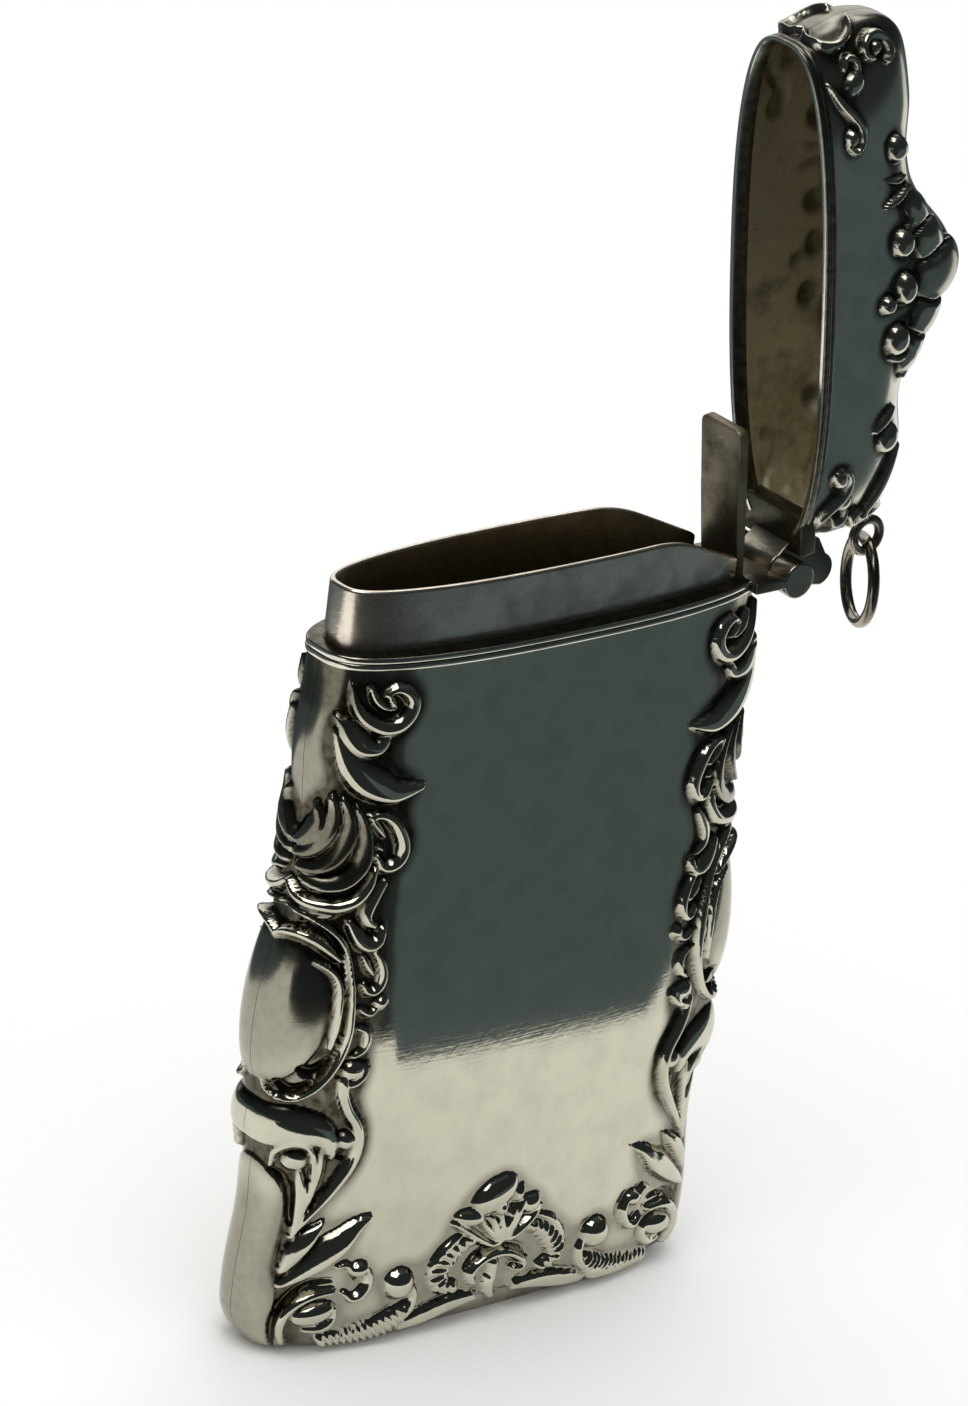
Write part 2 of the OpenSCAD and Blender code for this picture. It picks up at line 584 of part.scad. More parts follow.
// The spring bows in from its foot, so that its tip meets the heel of the lever
spring_bow = 1.2;
bow_rows = 8;
function bow_at(f) = -spring_bow * (1 - cos(90 * f));
module leaf_spring() {
    foot = [[0, 0], [0, block_h]];
    run = [for (i = [1 : bow_rows]) let (f = i / bow_rows)
        [bow_at(f), block_h + (spring_len - block_h) * f]];
    right_edge = concat(foot, run);
    left_edge = [for (i = [len(right_edge) - 1 : -1 : 0]) right_edge[i] - [spring_t, 0]];
    color(steel) difference() {
        translate([spring_x - seat, spring_w / 2, block_low])
            rotate([90, 0, 0])
                linear_extrude(spring_w)
                    polygon(concat(right_edge, left_edge));
        for (z = rivet_z)
            translate([spring_x - spring_t - 1, 0, z])
                rotate([0, 90, 0])
                    cylinder(d = rivet_d + 2 * seat, h = spring_t + 2);
    }
}

module spring_rivets() {
    shank = spring_t + 2 * seat + block_t;
    color(steel) for (z = rivet_z)
        translate([spring_x - spring_t - 2 * seat, 0, z])
            rotate([0, 90, 0]) {
                cylinder(d = rivet_d, h = shank);
                translate([0, 0, -rivet_head_t])
                    cylinder(d = rivet_head_d, h = rivet_head_t);
            }
}

// What rides on the lid is drawn shut and swung open about the hinge axis
module opened() {
    translate([hinge_x, 0, hinge_z])
        rotate([0, lid_open, 0])
            translate([-hinge_x, 0, -hinge_z])
                children();
}

// The lid's surface: rise goes from 0 at its moulding to 90 at the seam along its top
lid_low = moulding_h;
dip_x = 10;
dip_reach = 4;
dip_h = 0.5;
function lid_top_at(x) = lid_h + crest_h * bump(x, 0, crest_reach)
    - dip_h * (bump(x, dip_x, dip_reach) + bump(x, -dip_x, dip_reach));
function lid_half_w(h) = case_w / 2 + lid_swell * bump(h, lid_h / 2, lid_h / 2)
    - (h > lid_h - lid_corner_r
        ? lid_corner_r - sqrt(max(0, pow(lid_corner_r, 2) - pow(h - lid_h + lid_corner_r, 2)))
        : 0);
// Ornament of a lid shell, each boss as distance from the middle, height over the mouth,
// reach along, reach up and height over the shell
lid_bosses = [
    [0, 13.0, 2.2, 1.8, 0.6],
    [3.2, 11.6, 2.0, 1.8, 0.6],
    [5.8, 10.0, 2.0, 1.6, 0.5],
    [0, 8.6, 1.6, 1.4, 0.6],
    [3.8, 8.4, 1.6, 1.6, 0.5],
    [10.8, 8.2, 1.8, 1.4, 0.5],
    [16.6, 7.2, 2.4, 2.2, 0.7],
    [17.8, 4.2, 2.2, 2.4, 0.7],
    [13.4, 3.2, 2.4, 1.4, 0.5],
];
// The ornament keeps off the seam at the hinge end, where the hinge leaf is soldered on
leaf_fade = 0.8;
function leaf_share(x, y) = x > 0 ? min(1, max(0, (abs(y) - leaf_len / 2 - seat) / leaf_fade)) : 1;
function lid_pt(turn, rise, inset, relief) =
    let (climb = pow(sin(rise), 2 / lid_power))
    let (close = pow(abs(cos(rise)), 2 / lid_power))
    let (p = plan_pt(turn, lid_half_w(lid_low + climb * (lid_h - lid_low)), close, inset))
    let (h = lid_low + climb * (lid_top_at(p[0]) - inset - lid_low))
    let (lift = relief * leaf_share(p[0], p[1]) * proud(lid_bosses, abs(p[0]), h))
    let (out = plan_normal(turn) * (1 - pow(climb, 4)))
    [p[0] + lift * out[0], p[1] + lift * out[1] - seam_gap / 2, mouth_z + h];
lid_rows = 10;
lid_half_cols = 17;
lid_rises = [for (i = [0 : lid_rows]) 90 * i / lid_rows];
lid_turns = [for (i = [-lid_half_cols : lid_half_cols]) share_turn(i / lid_half_cols)];
lid_outer = [for (rise = lid_rises) [for (turn = lid_turns) lid_pt(turn, rise, 0, rise > 0 ? 1 : 0)]];
lid_inner = [for (rise = lid_rises) [for (turn = lid_turns) lid_pt(turn, rise, wall, 0)]];

module lid_front_shell() {
    color(silver) opened() half_shell(lid_outer, lid_inner);
}

module lid_back_shell() {
    color(silver) opened() mirror([0, 1, 0]) half_shell(lid_outer, lid_inner);
}

module lid_rim_moulding() {
    color(silver) opened() moulding(mouth_z, lid_gap_turn, wall);
}

// The lid's knuckle carries a strap that climbs the end of the lid and ends in a rounded boss
strap_steps = 5;
strap_low = mouth_z + seat - hinge_z;
function strap_in(h) = lid_half_w(h + hinge_z - mouth_z) + seat - hinge_x;
arm_seat = barrel_d / 2 - arm_tenon;

module lid_hinge_leaf() {
    strap_edge = [for (i = [0 : strap_steps])
        let (h = strap_low + (boss_up - strap_low) * i / strap_steps) [strap_in(h), h]];
    color(silver) opened() difference() {
        union() {
            barrel(barrel_d, -leaf_len / 2, leaf_len / 2);
            translate([boss_out, 0, boss_up])
                barrel(boss_d, -leaf_len / 2, leaf_len / 2);
            translate([hinge_x, leaf_len / 2, hinge_z])
                rotate([90, 0, 0])
                    linear_extrude(leaf_len)
                        polygon(concat([[barrel_d / 2 - eps, 0], [-pin_d / 2, pin_d / 2]],
                            strap_edge, [[boss_out + boss_d / 2 - eps, boss_up]]));
        }
        barrel(pin_d + 2 * pin_play, -leaf_len, leaf_len);
        translate([hinge_x - arm_t / 2 - seat, -leaf_len, hinge_z - barrel_d])
            cube([arm_t + 2 * seat, 2 * leaf_len, barrel_d - arm_seat]);
    }
}

module lid_lever() {
    tongue_z = hinge_z - lever_drop;
    color(steel) opened() {
        translate([hinge_x - arm_t / 2, -lever_w / 2, tongue_z])
            cube([arm_t, lever_w, lever_drop - arm_seat - seat]);
        translate([hinge_x - tongue_from - eps, -lever_w / 2, tongue_z])
            cube([tongue_from + arm_t / 2 + eps, lever_w, lever_t]);
        translate([hinge_x - lever_len, -tongue_w / 2, tongue_z])
            cube([lever_len - tongue_from, tongue_w, lever_t]);
    }
}

// The loop stands on the upper corner of the lid's hinge end
loop_x = case_w / 2 + loop_out;
loop_z = lid_top_z - loop_drop;
loop_mid_r = (loop_d - loop_wire) / 2;
corner_x = case_w / 2 - lid_corner_r;
corner_z = lid_top_z - lid_corner_r;
stem_turn = atan2(loop_z - corner_z, loop_x - corner_x);
stem_len = norm([loop_x - corner_x, loop_z - corner_z]) - loop_mid_r - lid_corner_r + wall;
module ring_loop() {
    color(silver) opened() translate([loop_x, 0, loop_z]) {
        rotate([90, 0, 0])
            rotate_extrude()
                translate([loop_mid_r, 0])
                    circle(d = loop_wire);
        rotate([0, -stem_turn - 90, 0])
            translate([0, 0, loop_mid_r])
                cylinder(d = loop_wire, h = stem_len);
    }
}

// The ring hangs from the lower edge of the loop's hole, as that stands with the lid open
loop_dx = loop_x - hinge_x;
loop_dz = loop_z - hinge_z;
pivot_x = hinge_x + loop_dx * cos(lid_open) + loop_dz * sin(lid_open);
pivot_z = hinge_z - loop_dx * sin(lid_open) + loop_dz * cos(lid_open)
    - (loop_d / 2 - loop_wire - ring_wire / 2 - ring_play);
ring_mid_r = (ring_d - ring_wire) / 2;
module suspension_ring() {
    color(silver) translate([pivot_x, 0, pivot_z - ring_mid_r])
        rotate([0, 0, -ring_turn])
            rotate([0, 90, 0])
                rotate_extrude()
                    translate([ring_mid_r, 0])
                        circle(d = ring_wire);
}

body_front_shell();
body_back_shell();
base_striker();
body_liner();
body_rim_moulding();
hinge_knuckle_front();
hinge_knuckle_back();
hinge_pin();
spring_block();
leaf_spring();
spring_rivets();
lid_front_shell();
lid_back_shell();
lid_rim_moulding();
lid_hinge_leaf();
lid_lever();
ring_loop();
suspension_ring();
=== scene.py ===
import math
import bpy
import bmesh
import numpy as np
from mathutils import Matrix, Vector


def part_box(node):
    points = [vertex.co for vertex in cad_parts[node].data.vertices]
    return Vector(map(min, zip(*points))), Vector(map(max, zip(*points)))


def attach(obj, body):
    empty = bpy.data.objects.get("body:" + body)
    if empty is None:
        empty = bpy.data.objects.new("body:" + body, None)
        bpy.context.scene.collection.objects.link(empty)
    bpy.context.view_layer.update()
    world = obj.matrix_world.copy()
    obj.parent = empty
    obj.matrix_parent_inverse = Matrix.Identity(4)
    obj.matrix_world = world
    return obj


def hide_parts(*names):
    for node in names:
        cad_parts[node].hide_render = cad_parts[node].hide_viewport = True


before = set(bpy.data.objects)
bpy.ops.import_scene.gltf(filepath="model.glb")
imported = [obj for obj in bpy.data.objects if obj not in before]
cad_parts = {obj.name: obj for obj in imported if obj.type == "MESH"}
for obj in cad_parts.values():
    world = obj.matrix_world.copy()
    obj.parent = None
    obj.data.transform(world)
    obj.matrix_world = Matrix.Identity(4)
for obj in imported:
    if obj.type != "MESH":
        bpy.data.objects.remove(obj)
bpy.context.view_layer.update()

# Front and back shells of the case. Each is one sheet of silver, stamped and then chased with scrolls,
# leaves and a palmette around a plain panel, and the two are soldered along the middle of both sides.
# Sizes are in mm: s runs along a shell from the middle of its face, and z is the height over the base.
MM = 0.001
CASE_WIDE, CASE_TALL = 39.3, 54.7
MID_DEPTH, END_DEPTH, PLAN_POWER = 10.2, 8.8, 3.2
SHEET, SEAM = 0.5, 0.04
SHELL_LIFT, BASE_ROUND, BASE_INSET, CORNER = 0.1, 2.6, 1.3, 3.5
ARCH, ARCH_REACH, ARCH_FADE = 1.6, 9.5, 7.0
OVAL_OUT, OVAL_Z, OVAL_REACH = 1.5, 24.5, 16
SHOULDER_OUT, SHOULDER_Z, SHOULDER_REACH = 0.4, 48.5, 6
FOOT_OUT, FOOT_Z, FOOT_REACH = 0.7, 5, 9
LEVER_NOTCH_LOW, LEVER_NOTCH_HALF, DRAWN_BACK = 50.372, 2.4, 2.0


def spow(value, power):
    return np.sign(value) * np.abs(value) ** power


def swell(value, middle, reach):
    share = np.clip(np.abs(value - middle) / reach, 0, 1)
    return (1 + np.cos(np.pi * share)) / 2


def plan_depth(u, inset):
    return END_DEPTH / 2 + (MID_DEPTH - END_DEPTH) / 2 * (1 - u ** 2) - inset


def plan_point(turn, half_wide, shrink, inset):
    u = spow(np.sin(turn), 2 / PLAN_POWER)
    y = -shrink * plan_depth(u, inset) * np.abs(np.cos(turn)) ** (2 / PLAN_POWER)
    return (half_wide - inset) * u, y - SEAM / 2


plan_turns = np.radians(np.linspace(-90, 90, 4001))
plan_x, plan_y = plan_point(plan_turns, CASE_WIDE / 2, 1, 0)
plan_runs = np.concatenate([[0], np.cumsum(np.hypot(np.diff(plan_x), np.diff(plan_y)))])
HALF_RUN = plan_runs[-1] / 2
plan_runs -= HALF_RUN


def turn_at(s):
    return np.interp(s, plan_runs, plan_turns)


def case_half_wide(z):
    corner = np.clip(CORNER - z, 0, CORNER)
    return (CASE_WIDE / 2 + OVAL_OUT * swell(z, OVAL_Z, OVAL_REACH)
            + SHOULDER_OUT * swell(z, SHOULDER_Z, SHOULDER_REACH) + FOOT_OUT * swell(z, FOOT_Z, FOOT_REACH)
            - (CORNER - np.sqrt(CORNER ** 2 - corner ** 2)))


def case_surface(s, z, inset):
    foot = np.clip(1 - z / BASE_ROUND, 0, 1)
    shrink = 1 - BASE_INSET / (MID_DEPTH / 2) * (1 - np.sqrt(1 - foot ** 2))
    x, y = plan_point(turn_at(s), case_half_wide(z), shrink, inset)
    lift = ARCH * swell(x, 0, ARCH_REACH) * np.clip(1 - z / ARCH_FADE, 0, 1) ** 2
    return np.stack([x, y, z + lift], axis=-1)


def outward(points):
    across, up = np.gradient(points, axis=1), np.gradient(points, axis=0)
    normal = np.cross(across, up)
    return normal / np.maximum(np.linalg.norm(normal, axis=-1, keepdims=True), 1e-9)


def smooth_line(points, steps=7):
    p = np.array(points, float)
    p = np.vstack([2 * p[0] - p[1], p, 2 * p[-1] - p[-2]])
    t = np.linspace(0, 1, steps, endpoint=False)[:, None]
    runs = [0.5 * (2 * b + (c - a) * t + (2 * a - 5 * b + 4 * c - d) * t ** 2
                   + (3 * b - a - 3 * c + d) * t ** 3)
            for a, b, c, d in zip(p, p[1:], p[2:], p[3:])]
    return np.vstack(runs + [p[-2:-1]])


BLEND, END_HEIGHT, REED_LEAN = 6, 0.45, 0.25


class Chasing:
    """Raised work on a sheet: each tool mark lifts or cuts the height h, in mm, at the points (s, z)."""

    def __init__(self, s, z):
        self.s, self.z = s, z
        self.h, self.cut = np.zeros_like(s), np.zeros_like(s)

    def follow(self, points, reach, ends):
        """The points near a line: how far off and along, on which side, and the line's taper there."""
        path = smooth_line(points)
        low, high = path.min(0) - reach, path.max(0) + reach
        hit = np.nonzero((self.s > low[0]) & (self.s < high[0]) & (self.z > low[1]) & (self.z < high[1]))
        s, z = self.s[hit], self.z[hit]
        far, run, side = np.full(s.shape, np.inf), np.zeros(s.shape), np.zeros(s.shape)
        begun = 0.0
        for (a, b), (c, d) in zip(path, path[1:]):
            length = math.hypot(c - a, d - b)
            ds, dz = (c - a) / length, (d - b) / length
            t = np.clip((s - a) * ds + (z - b) * dz, 0, length)
            es, ez = s - a - t * ds, z - b - t * dz
            gap = np.hypot(es, ez)
            nearer = gap < far
            far, run = np.where(nearer, gap, far), np.where(nearer, begun + t, run)
            side = np.where(nearer, ds * ez - dz * es, side)
            begun += length
        full = np.sin(np.pi * np.clip(run / begun, 0, 1))
        taper = np.where(run < begun / 2, ends[0], ends[1]) * (1 - full) + full
        return hit, far, run, side, taper

    def lift(self, hit, height):
        self.h[hit] = (self.h[hit] ** BLEND + np.clip(height, 0, None) ** BLEND) ** (1 / BLEND)

    def scroll(self, points, left, right, height, ends=(0.5, 0.5), power=0.65):
        """A ridge with its crest on the line, as wide on its left and right as given."""
        hit, far, _, side, taper = self.follow(points, max(left, right), ends)
        wide = np.where(side > 0, left, right) * taper
        shape = np.clip(1 - (far / wide) ** 2, 0, 1) ** power
        self.lift(hit, height * (END_HEIGHT + (1 - END_HEIGHT) * taper) * shape)

    def boss(self, middle, radii, height, turn=0, power=0.55):
        """A ball or an oval, turned by so many degrees."""
        reach = max(radii)
        hit = np.nonzero((abs(self.s - middle[0]) < reach) & (abs(self.z - middle[1]) < reach))
        ds, dz = self.s[hit] - middle[0], self.z[hit] - middle[1]
        c, k = math.cos(math.radians(turn)), math.sin(math.radians(turn))
        q = ((ds * c + dz * k) / radii[0]) ** 2 + ((dz * c - ds * k) / radii[1]) ** 2
        self.lift(hit, height * np.clip(1 - q, 0, 1) ** power)

    def reeds(self, points, half, height, pitch, ends=(0.6, 0.6), depth=0.5):
        """A band with reeds across it."""
        hit, far, run, side, taper = self.follow(points, half, ends)
        shape = np.clip(1 - (far / (half * taper)) ** 2, 0, 1) ** 0.5
        lean = run + REED_LEAN * side
        self.lift(hit, height * shape * (1 - depth * (0.5 - 0.5 * np.cos(2 * np.pi * lean / pitch))))

    def line(self, points, half, depth, ends=(0.4, 0.4)):
        """A chased line, cut into whatever it crosses."""
        hit, far, _, _, taper = self.follow(points, half, ends)
        self.cut[hit] = np.maximum(self.cut[hit], depth * np.clip(1 - (far / (half * taper)) ** 2, 0, 1))


def softened(field, cells):
    kernel = np.exp(-0.5 * (np.arange(-3 * cells, 3 * cells + 1) / cells) ** 2)
    kernel /= kernel.sum()
    for axis in (0, 1):
        wide = np.pad(field, [(3 * cells, 3 * cells) if k == axis else (0, 0) for k in (0, 1)], mode="edge")
        field = np.apply_along_axis(np.convolve, axis, wide, kernel, mode="valid")
    return field


FILM, FILM_SPREAD, LINE_DARK = 0.55, 1.6, 1.5
RAISED_FROM, RUB_FROM, RUB_RUN, HOLLOW_FROM, HOLLOW_RUN = 0.05, 0.02, 0.16, 0.03, 0.2


def patina_and_shade(work, relief, cells, dull):
    """Tarnish left on chased work, with painted shade in it: a film over its ground, more in the hollows,
    none on the rubbed crests; the film and the hollows darken as painted shade as well as tarnish.
    """
    around = softened(relief, cells)
    raised = np.where(work.h > RAISED_FROM, 1.0, 0.0)
    # painted shade with the tarnish: a dark film round the raised work and darker hollows, as occlusion would
    # give
    film = np.maximum(np.clip(FILM_SPREAD * softened(raised, cells), 0, 1), dull)
    rubbed = np.clip((relief - around - RUB_FROM) / RUB_RUN, 0, 1)
    hollow_tarnish_shade = np.clip((around - relief - HOLLOW_FROM) / HOLLOW_RUN, 0, 1)
    return np.clip(FILM * film * (1 - rubbed) + hollow_tarnish_shade + LINE_DARK * work.cut, 0, 1)


def chase_border(work):
    """The scrolls down one side of the panel, from the rim to the corner of the base."""
    scroll, boss, line, reeds = work.scroll, work.boss, work.line, work.reeds
    # volute under the rim, with its inner leaves
    scroll([(-18.9, 53.8), (-18.5, 52.5), (-17.9, 51.5), (-17.0, 50.8), (-15.9, 50.4), (-14.9, 50.6),
            (-14.25, 51.3), (-14.1, 52.2), (-14.7, 53.0), (-15.6, 53.3), (-16.3, 52.9)], 0.7, 0.75, 0.85,
           ends=(0.2, 0.4))
    scroll([(-17.5, 53.5), (-17.0, 52.6), (-16.3, 52.0), (-15.6, 51.8)], 0.35, 0.4, 0.65)
    scroll([(-16.2, 53.0), (-15.8, 52.4), (-15.4, 51.9)], 0.28, 0.3, 0.7)
    # second leaf and the long blade under it
    scroll([(-19.7, 51.3), (-18.9, 50.4), (-18.3, 49.6), (-17.7, 48.95), (-17.0, 48.7), (-16.2, 48.75),
            (-15.7, 49.3)], 1.4, 0.7, 0.85, ends=(0.1, 0.5))
    scroll([(-19.5, 50.2), (-18.9, 48.8), (-18.2, 47.3), (-17.3, 46.1), (-16.2, 45.4), (-15.0, 45.0),
            (-13.9, 45.1), (-12.6, 45.4)], 2.0, 0.9, 0.95, ends=(0.1, 0.2))
    # conch of nested lobes that overlap like scales, with its rim
    for lobe in ([(-17.2, 44.0), (-16.5, 42.5), (-16.2, 41.1), (-16.35, 39.7), (-17.0, 38.6), (-18.0, 37.9),
                  (-19.3, 37.75), (-20.4, 38.0)],
                 [(-18.2, 44.6), (-17.7, 43.3), (-17.6, 42.1), (-17.9, 40.9), (-18.6, 39.8), (-19.6, 39.1),
                  (-20.8, 38.9)],
                 [(-19.0, 44.7), (-18.8, 43.4), (-19.0, 42.2), (-19.55, 41.1), (-20.3, 40.3), (-21.2, 39.9)],
                 [(-20.0, 44.0), (-19.8, 43.0), (-20.1, 42.0), (-20.9, 41.1), (-21.6, 40.8)]):
        scroll(lobe, 0.3, 1.3, 0.8, ends=(0.5, 0.75), power=0.8)
    scroll([(-21.7, 37.6), (-20.9, 36.95), (-19.9, 36.65), (-19.0, 36.6), (-18.0, 36.6), (-16.8, 37.05),
            (-16.0, 38.1), (-15.75, 39.2)], 0.55, 0.8, 1.0)
    scroll([(-20.6, 35.9), (-19.3, 35.7), (-18.3, 35.75), (-17.3, 36.2)], 0.3, 0.3, 0.5)
    # open loop and the curls beside the oval
    scroll([(-16.4, 43.5), (-15.4, 43.5), (-14.5, 42.9), (-13.8, 41.8), (-13.5, 40.7), (-13.75, 39.8),
            (-14.4, 39.3), (-15.1, 39.4), (-15.6, 40.2)], 0.5, 0.7, 0.8)
    scroll([(-16.6, 43.6), (-15.9, 42.7), (-15.2, 41.8)], 0.3, 0.3, 0.65)
    scroll([(-15.7, 41.2), (-15.2, 40.7)], 0.25, 0.25, 0.5)
    scroll([(-14.6, 38.1), (-15.1, 37.1), (-15.45, 36.1), (-15.4, 35.3), (-14.8, 34.8)], 0.35, 0.9, 0.6)
    scroll([(-16.9, 35.1), (-16.2, 34.0), (-15.5, 33.3), (-14.8, 33.1), (-14.2, 33.5), (-14.05, 34.3)],
           0.9, 0.38, 0.8)
    scroll([(-14.6, 33.0), (-13.8, 32.0), (-13.4, 31.0), (-13.4, 30.1), (-13.8, 29.5), (-14.4, 29.6),
            (-14.8, 30.2)], 0.36, 0.5, 0.7)
    scroll([(-15.3, 32.6), (-14.7, 31.6), (-14.2, 30.9)], 0.28, 0.3, 0.55)
    scroll([(-14.7, 28.3), (-13.9, 27.8), (-13.3, 28.2)], 0.3, 0.3, 0.55)
    boss((-13.1, 28.55), (0.52, 0.5), 0.6)
    scroll([(-14.7, 26.8), (-13.9, 26.4), (-13.7, 25.7), (-13.9, 24.9), (-14.6, 24.4)], 0.32, 0.36, 0.55)
    boss((-14.5, 23.3), (0.95, 0.8), 0.7)
    scroll([(-15.4, 22.2), (-14.4, 22.2), (-13.6, 22.9), (-13.5, 23.6)], 0.4, 0.3, 0.6)
    # oval with its grooved frame and domed middle
    boss((-21.85, 28.3), (5.4, 6.2), 0.8)
    scroll([(-21.6, 35.9), (-20.6, 35.7), (-19.2, 35.3), (-17.8, 34.4), (-16.8, 33.2), (-16.2, 31.7),
            (-15.7, 30.0), (-15.4, 28.2), (-15.3, 26.4), (-15.6, 24.8), (-16.3, 23.3), (-17.3, 22.1),
            (-18.6, 21.35), (-19.7, 21.35), (-20.6, 21.9), (-21.2, 22.9)], 0.42, 0.5, 0.85, ends=(0.3, 0.1))
    scroll([(-22.2, 33.3), (-21.4, 33.9), (-20.6, 34.25), (-19.8, 34.3), (-18.8, 33.9), (-17.8, 33.1),
            (-17.0, 32.4)], 0.35, 0.7, 1.05)
    scroll([(-18.7, 32.3), (-17.6, 31.7), (-16.9, 31.0), (-16.5, 30.0), (-16.35, 28.6), (-16.3, 27.0),
            (-16.5, 25.4)], 0.3, 0.45, 0.95)
    line([(-18.4, 23.7), (-17.3, 23.4), (-16.4, 24.3)], 0.6, 0.5)
    line([(-19.9, 22.6), (-18.7, 21.95), (-17.5, 22.5)], 0.45, 0.5)
    line([(-20.4, 35.35), (-18.9, 34.85), (-17.4, 33.7), (-16.5, 32.2), (-16.0, 30.4), (-15.75, 28.4),
          (-15.7, 26.4)], 0.16, 0.25)
    # band round the waist and the long S under it
    scroll([(-23.5, 18.2), (-20.5, 18.2), (-18.6, 18.25), (-17.2, 18.1), (-16.3, 17.5), (-16.1, 16.8)],
           2.4, 1.1, 0.9, ends=(1, 0.35))
    scroll([(-15.1, 22.5), (-15.0, 21.3), (-14.6, 20.1), (-14.0, 19.0), (-13.75, 17.9), (-13.9, 16.7),
            (-14.4, 15.5), (-15.2, 14.3), (-16.1, 13.1), (-17.0, 12.0), (-17.8, 10.9), (-18.5, 9.9)],
           0.42, 0.65, 0.75, ends=(0.9, 0.35))
    boss((-14.75, 17.6), (0.8, 0.8), 0.7)
    line([(-15.4, 16.3), (-14.7, 16.3)], 0.2, 0.25)
    # little arch, its tongues and the smooth wing at the side
    scroll([(-20.1, 15.7), (-19.8, 16.9), (-19.1, 17.6), (-18.4, 17.8), (-17.7, 17.5), (-17.3, 16.8),
            (-17.2, 15.8), (-17.3, 14.8)], 0.35, 0.35, 0.85)
    boss((-18.5, 16.3), (1.1, 1.0), 0.65)
    scroll([(-16.6, 17.4), (-16.8, 15.6), (-17.2, 13.8), (-17.7, 12.1)], 0.5, 0.5, 0.6)
    scroll([(-18.2, 15.3), (-18.0, 13.5), (-18.1, 11.5), (-18.3, 9.9)], 0.6, 0.6, 0.65)
    line([(-20.3, 15.3), (-19.3, 14.7), (-18.85, 13.3), (-18.7, 11.8), (-18.6, 10.9)], 0.45, 0.35)
    line([(-16.2, 16.6), (-16.3, 15.2), (-16.9, 13.3), (-17.4, 12.1)], 0.4, 0.3)
    scroll([(-21.85, 13.0), (-21.85, 9.0), (-21.6, 5.0), (-21.4, 1.0)], 2.9, 2.9, 0.55,
           ends=(0.95, 1), power=0.5)
    # two leaf blades and the scroll at the corner
    scroll([(-16.2, 10.8), (-16.9, 9.7), (-17.6, 8.6), (-18.4, 7.3)], 0.42, 1.25, 0.9, ends=(0.3, 0.5))
    scroll([(-12.3, 11.0), (-13.3, 10.15), (-14.2, 8.95), (-15.3, 8.0), (-16.6, 7.1), (-18.4, 6.0)],
           0.42, 1.8, 1.0, ends=(0.1, 0.3))
    scroll([(-14.5, 5.2), (-15.8, 5.1), (-16.9, 4.7), (-17.8, 3.9), (-18.3, 2.8), (-18.6, 1.4)],
           0.45, 0.5, 0.75, ends=(0.5, 0.8))
    boss((-15.9, 3.5), (1.8, 0.9), 0.9, turn=12)
    scroll([(-14.2, 3.8), (-14.4, 2.9), (-15.3, 2.3), (-16.7, 2.2)], 0.4, 0.3, 0.6)
    line([(-14.6, 6.05), (-16.2, 6.05), (-17.3, 5.5), (-18.2, 4.5), (-18.8, 3.2), (-19.2, 1.8), (-19.7, 0.4)],
         0.36, 0.45)
    # curl, ball and the reeded edge along the bottom
    boss((-12.6, 6.7), (0.8, 0.62), 0.75)
    scroll([(-12.1, 6.9), (-11.65, 6.1), (-11.75, 5.2), (-12.3, 4.5), (-13.0, 4.35), (-13.6, 4.9)],
           0.36, 0.5, 0.7)
    scroll([(-14.4, 7.1), (-13.7, 7.2), (-13.2, 6.6), (-12.8, 6.0)], 0.3, 0.3, 0.5)
    boss((-9.0, 4.85), (1.25, 1.25), 1.05)
    scroll([(-7.9, 4.6), (-7.6, 3.5), (-8.0, 2.5), (-9.0, 1.7)], 0.4, 0.45, 0.55)
    reeds([(-15.6, 1.0), (-13.5, 0.95), (-11.5, 1.25), (-9.7, 1.8), (-8.4, 2.6)], 1.05, 0.7, 0.56)
    line([(-14.2, 1.6), (-12.2, 1.9), (-10.6, 2.5), (-9.4, 3.1)], 0.16, 0.2)


